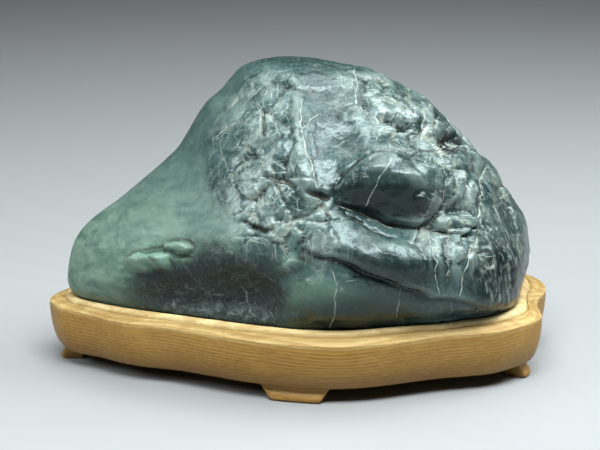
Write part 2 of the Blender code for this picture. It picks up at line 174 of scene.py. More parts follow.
# %% Outline, depths and powers
# The outline is across and up from the heart, from the right end anticlockwise.
FRONT_DEPTH, BACK_DEPTH = 75.5, 72.0
BASE_Z, BASE_ROUNDING = 34.0, 1.6
RIM_CLEAR = 46.5
RIGHT_SWEEP, RIGHT_SWEEP_LENGTH = 26.0, 130.0
FACE_OUTLINE = (
    (126, 3), (125, 12), (123, 19), (115, 30), (107, 44), (100, 54), (93, 57), (88, 65),
    (81, 73), (75, 79), (62, 92), (50, 98), (37, 105), (28, 110), (18, 113), (5, 115),
    (-7, 117), (-20, 118), (-33, 119), (-45, 117), (-52, 115), (-58, 112), (-64, 105),
    (-71, 97), (-77, 93), (-83, 85), (-90, 73), (-97, 61), (-109, 50), (-121, 40), (-134, 29),
    (-147, 20), (-153, 16), (-159, 9), (-163, 3), (-166, -8), (-167, -17), (-168, -25),
    (-165, -31), (-152, -37), (-135, -45), (-120, -51), (-103, -59), (-81, -68), (-54, -73),
    (-26, -76), (-7, -76), (12, -74), (26, -70), (37, -65), (60, -59), (81, -53), (90, -49),
    (101, -45), (109, -42), (115, -39), (118, -33), (121, -25), (124, -17), (126, -11),
    (127, -3),
)
OUTLINE_ROUNDING = math.radians(1.6)
OUTLINE_STEPS = 1440
# Turn round the face in degrees, and the power there.
FRONT_POWER = ((0, 2.6), (45, 2.1), (90, 1.9), (135, 1.55), (180, 1.4), (215, 1.5),
               (250, 1.9), (270, 2.0), (315, 2.3), (330, 3.0), (341, 4.5), (350, 3.4),
               (360, 2.6))
BACK_POWER = 2.2


def outline_table():
    """The outline as a radius for every turn, rounded by a Gaussian on the circle."""
    marks = np.array(FACE_OUTLINE, float)
    turn = np.arctan2(marks[:, 1], marks[:, 0]) % (2 * np.pi)
    order = np.argsort(turn)
    grid = np.linspace(0.0, 2 * np.pi, OUTLINE_STEPS, endpoint=False)
    radius = np.interp(grid, turn[order], np.hypot(*marks[order].T), period=2 * np.pi)
    waves = np.fft.rfft(radius)
    waves *= np.exp(-0.5 * (np.arange(len(waves)) * OUTLINE_ROUNDING) ** 2)
    return grid, np.fft.irfft(waves, len(grid))


def base_radius(direction):
    """((cos/outline)^p + (sin/depth)^p)^(-1/p), by the angle to the broad face."""
    across, up, away = direction @ ACROSS, direction @ UP_FACE, direction @ AWAY
    turn = np.arctan2(up, across)
    rim = np.interp(turn, *outline_table(), period=2 * np.pi)
    front = np.interp(np.degrees(turn) % 360.0, *np.array(FRONT_POWER).T)
    power = np.where(away < 0.0, front, BACK_POWER)
    depth = np.where(away < 0.0, FRONT_DEPTH, BACK_DEPTH)
    whole = (np.hypot(across, up) / rim) ** power + (np.abs(away) / depth) ** power
    return whole ** (-1.0 / power)


def swept(direction, radius):
    """Points at a radius from the heart, with the right end swung back."""
    points = HEART + direction * radius[:, None]
    reach = np.maximum(points[:, 0] - HEART[0], 0.0) / RIGHT_SWEEP_LENGTH
    return points + np.outer(RIGHT_SWEEP * reach ** 2, AWAY)


# %% [markdown]
# ## A closed grid for the stone
#
# A globe's grid crowds its points at two poles. The skin of a cube, blown up to a ball, has
# no poles and nearly even squares. Its six sides share their edge points, so it is closed
# without a merge. The ball is stretched to the stone's proportions, and its centre is moved
# back, which packs more points onto the front, where most of the detail is.

# %% The cube ball
STONE_GRID = 126
STONE_PROPORTIONS = np.array([150.0, 82.0, 96.0])
FRONT_CROWDING = 0.30


def cube_ball(squares):
    """Unit directions and faces of a cube's grid blown up to a ball, its seams shared.

    Corners are whole numbers on the cube's skin, so equal ones are found and joined; the
    tangent of an even angle spaces them.
    """
    step = np.arange(squares + 1)
    a, b = (side.ravel() for side in np.meshgrid(step, step, indexing="ij"))
    low, high = np.zeros_like(a), np.full_like(a, squares)
    sides = [(low, b, a), (high, a, b), (a, low, b), (b, high, a), (b, a, low), (a, b, high)]
    corners = np.concatenate([np.stack(side, 1) for side in sides])
    points, number = np.unique(corners, axis=0, return_inverse=True)
    number = number.reshape(6, squares + 1, squares + 1)
    faces = np.stack([number[:, :-1, :-1], number[:, 1:, :-1],
                      number[:, 1:, 1:], number[:, :-1, 1:]], -1).reshape(-1, 4)
    direction = np.tan((points / squares * 2.0 - 1.0) * np.pi / 4.0)
    return direction / np.linalg.norm(direction, axis=1, keepdims=True), faces


ball, stone_faces = cube_ball(STONE_GRID)
stone_direction = (ball - (0.0, FRONT_CROWDING, 0.0)) * STONE_PROPORTIONS
stone_direction /= np.linalg.norm(stone_direction, axis=1, keepdims=True)
stone_radius = base_radius(stone_direction)
print(len(ball), "points,", 2 * len(stone_faces), "triangles")

# %% [markdown]
# ## Lumps, hollows and ledges
#
# Two kinds of relief make the stone's character. Forms are rounded: each is a bell over its
# own ellipse, and a higher edge power gives it a firmer shoulder. Ledges are drawn lines:
# one side stands proud of the other, the step fades with distance, and a groove runs along
# the line. Together they give the knob over its dark overhang, the strip beside the slab,
# and the deep open cracks.
#
# A form's place is read from the finished surface, so it is worked out three times, each
# time from where the last one left the point. Noise shifts that place by a millimetre or
# two, so that no form keeps a drawn outline.

# %% Forms of the face and of the far side
# Name, across, up, half width, half height, turn in degrees, height, edge power, lean.
FACE_FORMS = (
    ("flank lump", -117, -12, 12, 6, 8, 6, 5, 0.6),
    ("flank lump", -108, -10, 7, 6, 20, 3, 5, 0.5),
    ("flank lump", -98, -2, 8, 4, -4, 5.5, 5, 0.5),
    ("front swell", -1, -25, 114, 35, -3, 1, 2.2, 0),
    ("dark hollow", -78, -31, 49, 17, -4, -8.5, 2.8, 0.25),
    ("hollow foot", -44, -35, 22, 15, -20, -3.5, 2.4, 0),
    ("broken ground", -42, 42, 34, 49, 0, 5, 3.4, -0.5),
    ("ridge strip", -19, 71, 6, 39, 7, 1.2, 6, 0),
    ("slab", 4, 63, 19, 33, 12, -3.5, 3, 0),
    ("crown", -6, 109, 44, 10, -6, 2, 3, 0),
    ("knob", 38, 36, 35, 22, -4, 11, 3, 0.75),
    ("knob foot", 28, 19, 29, 9, -16, -6, 3, 0),
    ("knob left lobe", 29, 54, 10, 8, 10, 2.5, 3, 0),
    ("knob right lobe", 61, 42, 17, 11, -4, 6, 3, 0.3),
    ("top lump", 34, 86, 11, 7, -25, 3.5, 4, 0.2),
    ("top lump", 13, 84, 9, 7, 0, 2, 3, 0),
    ("top lump", 48, 84, 10, 8, 0, 2.5, 3, 0.2),
    ("shoulder lump", 81, 54, 14, 6, -12, 5, 4, 0.4),
    ("shoulder pit", 76, 66, 8, 6, -10, -4.5, 3, 0),
    ("side block", 59, 25, 7, 8, 0, 3.5, 5, 0.4),
    ("side block", 78, 35, 5, 10, 0, 5, 6, 0.3),
    ("side block", 87, 31, 4, 10, 0, 3.5, 6, 0.3),
    ("side block", 81, 12, 11, 6, 0, 4.5, 6, 0.4),
    ("lower band", 26, -2, 40, 22, -13, 5.5, 4, -0.35),
    ("band pillow", 37, -8, 24, 11, -14, 5.5, 4, -0.1),
    ("nub", -26, -12, 5, 5, 0, 2.2, 3, 0.3),
    ("base lobe", 13, -37, 44, 17, 2, 6.5, 3, 0.8),
    ("right column", 82, -9, 9, 16, -4, 4.5, 5, 0.2),
    ("right column", 65, -11, 6, 18, 0, 2.5, 4, 0),
    ("right column", 71, 14, 6, 5, 0, 3, 4, 0.3),
    ("right end", 107, -11, 14, 22, 0, 3.5, 4, 0.3),
    ("right foot", 80, -40, 23, 8, 0, 2.5, 3, 0.3),
)
BACK_FORMS = (
    ("left swell", -70, 0, 46, 30, 20, 6, 3, 0),
    ("back hollow", -10, 10, 34, 26, -30, -7, 2.6, 0),
    ("upper swell", 10, 66, 40, 26, 10, 6, 3.5, 0),
    ("right swell", 74, 8, 34, 36, 0, 6, 3.5, 0),
    ("low swell", 10, -36, 44, 16, 0, 4, 3, 0),
    ("pit", 40, 30, 12, 9, 30, -4, 3, 0),
    ("pit", -48, 52, 15, 9, -40, -4, 3, 0),
)


def form_height(across, up, forms):
    """Sum of height * (1 + lean * v) * exp(-distance^power), with v the way up the ellipse.

    The distance is 1 on the ellipse's edge. Lean makes the upper edge stand out more than
    the foot.
    """
    total = np.zeros_like(across)
    for _, s, t, half_s, half_t, turn, height, power, lean in forms:
        c, d = math.cos(math.radians(turn)), math.sin(math.radians(turn))
        u = ((across - s) * c + (up - t) * d) / half_s
        v = ((up - t) * c - (across - s) * d) / half_t
        total += height * (1.0 + lean * np.clip(v, -1.2, 1.2)) * np.exp(-np.hypot(u, v) ** power)
    return total


print(len(FACE_FORMS), "forms on the face and", len(BACK_FORMS), "on the far side")

# %% The forms on the stone
FORM_WANDER, WANDER_CELL = 1.6, 13.0
FORM_FADE = 12.0

facing = smooth_step(0.02, 0.30, -(stone_direction @ AWAY))
averted = smooth_step(0.02, 0.40, stone_direction @ AWAY)
form = np.zeros(len(ball))
for _ in range(3):
    points = swept(stone_direction, stone_radius + form)
    s, t = on_face(points)
    worn_s = s + FORM_WANDER * rough_noise(points, WANDER_CELL, 3, 51)
    worn_t = t + FORM_WANDER * rough_noise(points, WANDER_CELL, 3, 56)
    form = (facing * form_height(worn_s, worn_t, FACE_FORMS)
            + averted * form_height(worn_s, worn_t, BACK_FORMS))
    form *= smooth_step(RIM_CLEAR, RIM_CLEAR + FORM_FADE, points[:, 2])
print("forms raise the stone by %.1f to %.1f mm" % (form.min(), form.max()))

# %% Ledges, joints and open cracks
# Name, depth of the groove, its half width, how far the left side stands proud, how far
# from the line that fades, and the line.
FACE_LEDGES = (
    ("lower ledge", 3, 1.4, 7, 12, ((-20, -2), (-12, -6), (-4, -9), (5, -10), (14, -14), (22, -19),
        (36, -23), (46, -28), (55, -30), (62, -35), (75, -35), (88, -38), (100, -41))),
    ("knob foot", 4, 1.5, 7, 13, ((2, 28), (8, 24), (18, 22), (27, 19), (36, 14), (46, 12),
        (55, 11), (64, 15), (69, 22), (72, 29))),
    ("knob brim", 2.0, 1.2, -2.6, 8, ((2, 27), (2, 36), (6, 43), (13, 50), (19, 55), (28, 60),
        (38, 61), (48, 59), (59, 54), (67, 51), (72, 44))),
    ("band crack", 2, 1.1, 1, 8, ((7, 21), (13, 17), (19, 14), (27, 9), (36, 5), (45, 4))),
    ("strip edge", 1.2, 1, -2.6, 10, ((-18, 95), (-19, 86), (-20, 79), (-18, 66), (-16, 59),
        (-12, 49), (-11, 42), (-9, 37), (-7, 33))),
    ("top step", 0.8, 0.9, 1.0, 6, ((-27, 108), (-29, 102), (-25, 99), (-17, 99), (-9, 98),
        (0, 99))),
    ("long crack", 2.2, 1, 0.8, 6, ((-46, 90), (-44, 86), (-43, 80), (-43, 74), (-42, 67))),
    ("crack A", 4, 1.4, 1, 8, ((-44, 43), (-39, 43), (-33, 41), (-28, 40), (-22, 35))),
    ("crack B", 4, 1.5, 1.2, 8, ((-58, 16), (-52, 12), (-46, 10), (-41, 8), (-36, 10))),
    ("hole", 5, 1.6, 1.5, 7, ((-17, 34), (-12, 33), (-7, 32), (-1, 29))),
    ("chain", 1.8, 1.1, 1.2, 8, ((-6, 25), (-12, 21), (-17, 18), (-24, 17), (-30, 13), (-35, 10))),
    ("fold", 2, 1.5, -1.5, 9, ((-123, -7), (-115, -3), (-107, -3), (-101, -5), (-94, -8),
        (-87, -9))),
    ("column joint", 1.8, 1.1, 0.8, 8, ((73, 43), (72, 35), (71, 26), (67, 17), (65, 4), (65, -7),
        (66, -15), (67, -26), (68, -33))),
    ("right joint", 1.2, 1, -0.8, 8, ((98, 52), (95, 43), (95, 33), (93, 24), (94, 14), (91, 4),
        (88, -7), (85, -16), (81, -24), (80, -34))),
)


def ledge_height(across, up, ledges):
    """A step, step/2 * side * tanh(d/w) * exp(-d/reach), less a groove, depth * exp(-(d/w)^2).

    d is the distance to the line and w the half width. Both are times sqrt(sin) along the
    line, so that a ledge dies out at its ends.
    """
    total = np.zeros_like(across)
    for _, depth, half_width, step, reach, line in ledges:
        distance, side, share = line_field(across, up, line)
        fade = np.sqrt(np.sin(np.pi * np.clip(share, 0.0, 1.0)).clip(0.0))
        rise = 0.5 * step * side * np.exp(-distance / reach) * np.tanh(distance / half_width)
        total += fade * (rise - depth * np.exp(-(distance / half_width) ** 2))
    return total


points = swept(stone_direction, stone_radius + form)
s, t = on_face(points)
ledge = facing * ledge_height(s, t, FACE_LEDGES)
print("ledges: %.1f to %.1f mm" % (ledge.min(), ledge.max()))

# %% [markdown]
# ## Broken ground
#
# Where the stone is jointed it breaks into flat facets with fine gaps between them. Worley
# cells give that: each cell of a lattice holds one random seed, and a point belongs to the
# nearest. The gap between the nearest and the second nearest finds the borders. Every cell
# is tipped its own way and sits a little higher or lower than its neighbours.
#
# Masks keep the facets where they belong. A mask is a sum of soft ellipses on the face, or a
# drawn patch whose edge is softened.

# %% Worley facets
FACET_SALT = 104729
LATTICE_BEND = 0.22


def facets(points, cell, seed):
    """The gap to the cell's border, the tipped facet's height, and the cell's own level.

    The gap is the distance to the second nearest seed less that to the nearest, so it is 0
    on the border. The lattice is bent by noise first, so that borders wander like real joints.
    """
    def draws(node, first, second, third):
        """Three random numbers from 0 to 1 for each node."""
        return np.stack([place_hash(node, (seed + k) * FACET_SALT)
                         for k in (first, second, third)], 1)

    bend = np.stack([rough_noise(points, cell * 0.9, 2, seed + k) for k in (3, 5, 7)], 1)
    place = points / cell + LATTICE_BEND * bend
    home = np.floor(place).astype(np.int64)
    nearest, second = np.full(len(points), 9.0), np.full(len(points), 9.0)
    offset, owner = np.zeros_like(place), np.zeros_like(home)
    for step in np.ndindex(3, 3, 3):
        node = home + step - 1
        from_seed = place - (node + draws(node, 11, 13, 17))
        distance = np.linalg.norm(from_seed, axis=1)
        nearer = distance < nearest
        second = np.where(nearer, nearest, np.minimum(second, distance))
        nearest = np.where(nearer, distance, nearest)
        offset = np.where(nearer[:, None], from_seed, offset)
        owner = np.where(nearer[:, None], node, owner)
    tip = draws(owner, 19, 23, 29) * 2.0 - 1.0
    level = place_hash(owner, (seed + 31) * FACET_SALT) * 2.0 - 1.0
    return (second - nearest) * cell, (offset * tip).sum(1) * cell, level


def facet_height(gap, tip, level, tilt, lift, slope, slope_width, cleft, cleft_width):
    """tilt * tip + lift * level - slope * exp(-gap/width) - cleft * exp(-(gap/width)^2).

    The slope rounds a facet off towards its border, and the cleft is the open joint itself.
    """
    return (tilt * tip + lift * level - slope * np.exp(-gap / slope_width)
            - cleft * np.exp(-(gap / cleft_width) ** 2))


print("gaps to the cell borders:", facets(HEART[None] * 1.3, 14.0, 1)[0])

# %% A patch with a drawn edge
def patch(across, up, loop, softness):
    """1 inside a drawn loop and 0 outside, with an edge of the given softness.

    A point is inside if a ray from it crosses the loop an odd number of times; the distance
    to the loop then softens the edge.
    """
    marks = np.array(loop, float)
    distance, _, _ = line_field(across, up, np.vstack([marks, marks[:1]]))
    inside = np.zeros(len(across), bool)
    for (s0, t0), (s1, t1) in zip(marks, np.roll(marks, -1, 0)):
        crosses = (t0 > up) != (t1 > up)
        reach = s0 + (up - t0) * (s1 - s0) / np.where(t1 == t0, 1e-9, t1 - t0)
        inside ^= crosses & (across < reach)
    return smooth_step(-softness, softness, np.where(inside, distance, -distance))


square = ((-5, -5), (5, -5), (5, 5), (-5, 5))
print("a square patch, in its middle and outside it:",
      patch(np.array([0.0, 9.0]), np.zeros(2), square, 2.0))

# %% Where the ground is broken, and by how much
# Name, across, up, half width, half height, turn, share, edge power, lean.
BROKEN_GROUND = (
    ("broken ground", -44, 60, 28, 52, 0, 0.75, 4, 0),
    ("below it", -42, 10, 24, 22, 0, 0.8, 4, 0),
    ("middle", -12, 8, 22, 26, 0, 0.65, 4, 0),
    ("knobbly crown", 43, 84, 48, 27, -20, 0.95, 4, 0),
    ("right blocks", 69, 25, 24, 42, 0, 0.7, 4, 0),
    ("right end", 102, 14, 24, 60, 0, 0.45, 4, 0),
    ("slab", 3, 63, 18, 33, 12, -0.3, 4, 0),
    ("knob", 34, 38, 31, 22, -4, -0.8, 5, 0),
    ("band", 37, -3, 24, 12, -6, -0.3, 4, 0),
)
BACK_SHARE = 0.8
WIDE_CELL, FINE_CELL = 21.0, 9.0

# The far side is broken at its right end, and in patches towards the middle.
x = points[:, 0]
back_broken = smooth_step(-0.5, 0.6, rough_noise(points, 70.0, 2, 41) + (x - 10) / 90)
back_broken *= smooth_step(-60.0, -10.0, x + 12.0 * rough_noise(points, 30.0, 2, 46))
broken = np.clip(facing * form_height(s, t, BROKEN_GROUND)
                 + (1.0 - facing) * BACK_SHARE * back_broken, 0.0, 1.0)
wide = facets(points * (1.0, 1.0, 0.8), WIDE_CELL, 101)
fine = facets(points * (1.15, 1.0, 0.8), FINE_CELL, 202)
facet = broken * facet_height(*wide, tilt=0.18, lift=1.1, slope=1.1, slope_width=2.4,
                              cleft=0.8, cleft_width=0.8)
facet += broken ** 2 * facet_height(*fine, tilt=0.14, lift=0.3, slope=0.3, slope_width=1.4,
                                    cleft=0.35, cleft_width=0.6)
print("facets: %.1f to %.1f mm" % (facet.min(), facet.max()))

# %% Loops round the smooth flank, the dark hollow and the olive lobe
FLANK_PATCH = (
    (-178.5, -43), (-178.5, -11), (-159.5, 14.5), (-134, 37), (-108.5, 56), (-93, 75), (-80, 97),
    (-65.5, 115.5), (-58, 105.5), (-65.5, 94.5), (-73, 80), (-79.5, 66), (-81.5, 50.5),
    (-79, 34.5), (-69.5, 25), (-60.5, 20), (-58, 6), (-54, -8.5), (-61, -13), (-77, -11),
    (-89.5, -11), (-102.5, -15), (-115, -20), (-126.5, -30), (-139, -39),
)
HOLLOW_PATCH = (
    (-129, -36.5), (-127, -26.5), (-117.5, -21), (-105, -18), (-98.5, -9), (-88.5, -1),
    (-74, -1), (-58, -5.5), (-44, -12.5), (-31, -21), (-26.5, -34), (-30, -46.5), (-45.5, -53),
    (-70.5, -51.5), (-96, -48), (-115, -44),
)
OLIVE_PATCH = (
    (-25, -27), (-13.5, -22), (5.5, -25), (30.5, -31.5), (53, -35), (59, -44.5), (43.5, -54),
    (5.5, -56.5), (-20, -55.5), (-29.5, -48),
)
print("places in the loops:", len(FLANK_PATCH), len(HOLLOW_PATCH), len(OLIVE_PATCH))

# %% Regions of the face, and where shade is painted
# Name, across, up, half width, half height, turn, share, edge power, lean.
# Painted shade: these ellipses mark faces that are painted nearly black as shade: the knob's
# underside, the band's foot, the lower right, the base, the right end, the pocket under the flank
# lumps and the notch. The upper right is dimmed a little.
PAINTED_SHADE_FACES = (
    ("knob face", 26, 31, 25, 15, -14, 1, 4, 0),
    ("knob face", 48, 27, 19, 12, -4, 0.95, 4, 0),
    ("band foot", 36, -14, 34, 9, -14, 0.9, 3, 0),
    ("lower right", 105, -26, 24, 20, 0, 0.95, 3, 0),
    ("base", 19, -43, 41, 14, 2, 0.8, 3, 0),
    ("right end", 110, 6, 13, 42, 0, 0.7, 3, 0),
    ("under the flank lumps", -110, -21, 19, 4, 8, 0.9, 3, 0),
    ("notch", 75, 65, 10, 7, 0, 1, 4, 0),
    ("upper right", 60, 84, 34, 20, -30, 0.2, 4, 0),
)
GNARLED = (
    ("flank lumps", -110, -8, 22, 9, 14, 1, 4, 0),
    ("nub", -26, -12, 9, 9, 0, 0.6, 3, 0),
)
# The edges of the regions wander by broad and by close noise.
BROAD_CELL, BROAD_WANDER = 22.0, 3.0
CLOSE_CELL, CLOSE_WANDER = 8.0, 2.2
cloud = rough_noise(points, BROAD_CELL, 3, 91)
edge_s = s + BROAD_WANDER * cloud
edge_t = t + BROAD_WANDER * rough_noise(points, BROAD_CELL, 3, 96)
edge_s += CLOSE_WANDER * rough_noise(points, CLOSE_CELL, 3, 97)
edge_t += CLOSE_WANDER * rough_noise(points, CLOSE_CELL, 3, 98)
left_end = smooth_step(20.0, -60.0, x + 26.0 * cloud)
flank = facing * patch(edge_s, edge_t, FLANK_PATCH, 4.0) + (1.0 - facing) * left_end
hollow = facing * patch(edge_s, edge_t, HOLLOW_PATCH, 7.0)
olive = facing * patch(edge_s, edge_t, OLIVE_PATCH, 6.0)
# Painted shade: this mask paints the faces turned from the light nearly black.
painted_shade = np.clip(facing * form_height(edge_s, edge_t, PAINTED_SHADE_FACES), 0.0, 1.0)
gnarled = np.clip(facing * form_height(s, t, GNARLED), 0.0, 1.0)
for name, values in (("flank", flank), ("hollow", hollow), ("painted_shade", painted_shade)):
    print(name, "covers %.2f of the points" % values.mean())

# %% [markdown]
# ## Veins, rust and painted crack shade
#
# Pale mineral veins cross the stone, some standing a hair proud because they wore more
# slowly. Rust sits in the open cracks, and near-black lines of painted shade run along the
# cracks, under the feet of lumps and in the gap at the rim. They are drawn as lines on the
# face too. Each point keeps how near it lies to them, as values that the material reads. The
# veins also lift the surface slightly, and the lines of crack shade sink it.

# %% Lines of the veins
# Name, half width, strength, and the line.
VEINS = (
    ("edge of the broken ground", 0.4, 0.45, ((-71.5, 66), (-74, 60), (-78.5, 55), (-77.5, 48.5),
        (-78.5, 41))),
    ("edge of the broken ground", 0.4, 0.45, ((-73, 34.5), (-69.5, 29.5), (-60.5, 23), (-58, 20))),
    ("edge of the broken ground", 0.4, 0.6, ((-61, -5.5), (-61, -15))),
    ("brow line", 0.55, 0.8, ((-61, 80), (-65.5, 77), (-70.5, 72.5), (-76, 65.5))),
    ("brow line", 0.45, 0.6, ((-65.5, 74.5), (-73, 67))),
    ("brow line", 0.4, 0.6, ((-58, 83.5), (-48, 82), (-44, 83.5), (-29.5, 84))),
    ("brow line", 0.45, 0.7, ((-71.5, 67.5), (-70.5, 61), (-68, 53.5), (-65.5, 46.5),
        (-67.5, 42))),
    ("twig", 0.45, 0.6, ((-65, 47), (-60, 48.5), (-57.5, 46))),
    ("twig", 0.45, 0.5, ((-51.5, 67), (-47.5, 68.5))),
    ("twig", 0.45, 0.5, ((-51.5, 59), (-46.5, 60.5))),
    ("twig", 0.45, 0.6, ((-63, 37.5), (-58, 38.5), (-53, 39))),
    ("crack lip", 0.6, 0.9, ((-47.5, 89), (-45.5, 84), (-45, 77.5), (-44, 68))),
    ("upright", 0.45, 0.7, ((-38, 101), (-38, 94.5), (-38.5, 79), (-39.5, 69.5))),
    ("strip left", 0.5, 0.6, ((-27.5, 94.5), (-27, 88.5), (-28.5, 82), (-26.5, 75.5),
        (-25.5, 50.5), (-22, 37.5))),
    ("strip right", 0.7, 1, ((-18, 94.5), (-19.5, 86.5), (-20, 79), (-18, 66), (-15.5, 58.5),
        (-13, 50.5), (-10, 37.5), (-8, 34))),
    ("slant", 0.5, 0.8, ((-8.5, 83.5), (-13.5, 79), (-18, 74))),
    ("star", 0.45, 0.7, ((-44, 18), (-45.5, 25.5), (-44, 33.5))),
    ("star", 0.45, 0.6, ((-44, 18), (-39, 23))),
    ("star", 0.45, 0.6, ((-44, 18), (-50.5, 19.5))),
    ("crown vein", 0.8, 1, ((14, 112), (15.5, 106.5), (16.5, 101), (15.5, 96), (16, 91.5),
        (18.5, 87.5), (25.5, 82))),
    ("shoulder strip", 1.1, 0.7, ((56.5, 86.5), (58.5, 80), (59, 72.5), (58.5, 67.5))),
    ("brow twig", 0.55, 0.9, ((34.5, 72.5), (36.5, 67.5), (37.5, 61))),
    ("knob vein", 0.75, 1, ((39, 55), (35.5, 49.5), (32, 45.5), (29.5, 40), (27.5, 35),
        (24.5, 29.5), (21, 22.5))),
    ("knob rim", 0.6, 0.9, ((3, 24.5), (15, 21), (21, 20), (25.5, 17.5), (35.5, 11.5), (41, 10))),
    ("knob right", 0.6, 0.8, ((67, 51.5), (70.5, 48.5), (73, 43.5))),
    ("block top", 0.5, 0.7, ((53, 32), (59, 30), (63.5, 28))),
    ("band upright", 0.45, 0.6, ((-12.5, 11.5), (-12, -0.5), (-12.5, -10))),
    ("band upright", 0.45, 0.6, ((-6, 20), (-4, 6), (-2.5, -10))),
    ("band upright", 0.45, 0.5, ((3, 14.5), (3.5, -0.5), (3, -7.5))),
    ("band upright", 0.45, 0.5, ((10, 8), (10, -3.5), (8.5, -11))),
    ("band crease", 0.5, 0.8, ((23.5, 1.5), (27, -1.5), (32, -5), (38.5, -6.5), (43.5, -7.5))),
    ("lobe vein", 0.7, 1, ((-0.5, -16), (1.5, -20.5), (4, -27.5), (2, -34), (2, -43), (1, -48),
        (-1.5, -53.5))),
    ("lobe vein", 0.45, 0.6, ((6, -27), (8.5, -32), (11, -36))),
    ("lobe vein", 0.65, 1, ((46, -29.5), (45, -33.5), (43.5, -38.5), (41, -46.5))),
    ("lobe vein", 0.45, 0.8, ((78, -41), (77.5, -46.5))),
    ("lobe ledge", 0.6, 0.5, ((5.5, -25), (13, -23), (23, -24.5))),
    ("arc", 0.5, 0.7, ((75, 43), (81.5, 42), (86.5, 41))),
    ("shelf", 0.55, 0.8, ((77.5, 18), (82, 17.5), (87.5, 17), (92.5, 16))),
    ("shelf", 0.55, 0.8, ((66, 10), (71, 8.5), (76.5, 9), (81.5, 6), (89.5, 2))),
    ("column", 0.65, 0.8, ((75, 3), (72.5, -7.5), (72.5, -11), (73, -16), (71, -20))),
    ("column", 0.65, 0.9, ((72.5, 42), (72.5, 34.5), (70.5, 26.5), (67.5, 17.5), (64, 10.5),
        (65, -6.5), (66, -13), (67.5, -32))),
    ("long vein", 0.8, 1, ((98.5, 51.5), (96.5, 46), (94.5, 36.5), (96, 32), (93.5, 27),
        (94, 14.5), (91, 4), (90, -2), (87, -11), (83, -21), (80.5, -30), (80, -34))),
    ("far shelf", 0.5, 0.7, ((89, -4), (94, -6), (99, -7.5), (105.5, -6.5))),
    ("spike", 0.7, 0.9, ((111.5, 34), (109, 30), (106.5, 29))),
    ("flank scratch", 0.6, 0.45, ((-129, -7.5), (-133, -15), (-140.5, -22.5))),
    ("flank scratch", 0.45, 0.5, ((-162, 3), (-159.5, -11))),
    ("flank scratch", 0.45, 0.4, ((-155.5, 6), (-158, -3.5))),
    ("flank scratch", 0.45, 0.3, ((-126.5, 24), (-134, 11.5))),
    ("hollow vein", 0.5, 0.8, ((-57.5, -25.5), (-54, -30), (-52.5, -37), (-48, -46.5))),
    ("hollow vein", 0.45, 0.6, ((-79.5, -33.5), (-74, -31.5), (-68, -31.5))),
    ("hollow vein", 0.4, 0.45, ((-88.5, -35), (-79.5, -33.5))),
    ("hollow vein", 0.4, 0.45, ((-108.5, -24), (-102.5, -30), (-98.5, -39))),
    ("hollow vein", 0.4, 0.4, ((-122.5, -21), (-117.5, -30), (-115, -37))),
    ("hollow vein", 0.4, 0.4, ((-44, -35), (-39, -40), (-35, -49))),
    ("slab twig", 0.4, 0.5, ((-1, 60), (8.5, 66), (18, 67))),
    ("crown twig", 0.45, 0.6, ((-13.5, 113), (-7.5, 110), (3, 105))),
    ("crown twig", 0.45, 0.6, ((3, 110.5), (8.5, 105.5), (15.5, 104))),
    ("crown twig", 0.45, 0.7, ((22, 100.5), (29.5, 96), (38.5, 93))),
    ("crown twig", 0.45, 0.7, ((25.5, 82), (30.5, 76.5), (34.5, 72.5))),
    ("crown twig", 0.45, 0.6, ((41, 91.5), (46, 84), (48.5, 75))),
    ("crown twig", 0.45, 0.6, ((18.5, 87.5), (13, 81.5), (10.5, 74))),
    ("top seam", 0.5, 0.6, ((-20, 100), (-13.5, 100), (-6, 99.5))),
)
print(len(VEINS), "veins")

# %% Lines of rust and of painted crack shade
# Name, half width, strength, and the line.
RUST = (
    ("knob pit", 0.7, 0.8, ((18.5, 45.5), (22.5, 44.5))),
    ("crack A", 1.2, 0.9, ((-43, 43.5), (-38, 42), (-31.5, 41), (-25, 37.5), (-22, 35))),
    ("crack B", 1.3, 0.9, ((-56, 15), (-50.5, 11.5), (-44, 9), (-38.5, 8.5))),
    ("hole", 1.2, 1, ((-16, 33.5), (-8.5, 32), (-2.5, 29.5))),
    ("chain", 0.9, 0.8, ((-1, 27.5), (-7.5, 24), (-12, 21), (-17.5, 18), (-24.5, 16), (-29.5, 13),
        (-33.5, 11))),
    ("upright crack", 0.8, 0.7, ((-44.5, 87), (-43.5, 80), (-43, 74))),
    ("knob rim", 0.6, 0.5, ((25.5, 17.5), (35.5, 11.5), (43.5, 10.5))),
    ("strip head", 2, 0.35, ((-24, 96), (-22.5, 88.5), (-24, 80))),
    ("lower ledge", 0.6, 0.4, ((-16, -3.5), (-7.5, -8), (1, -9))),
)
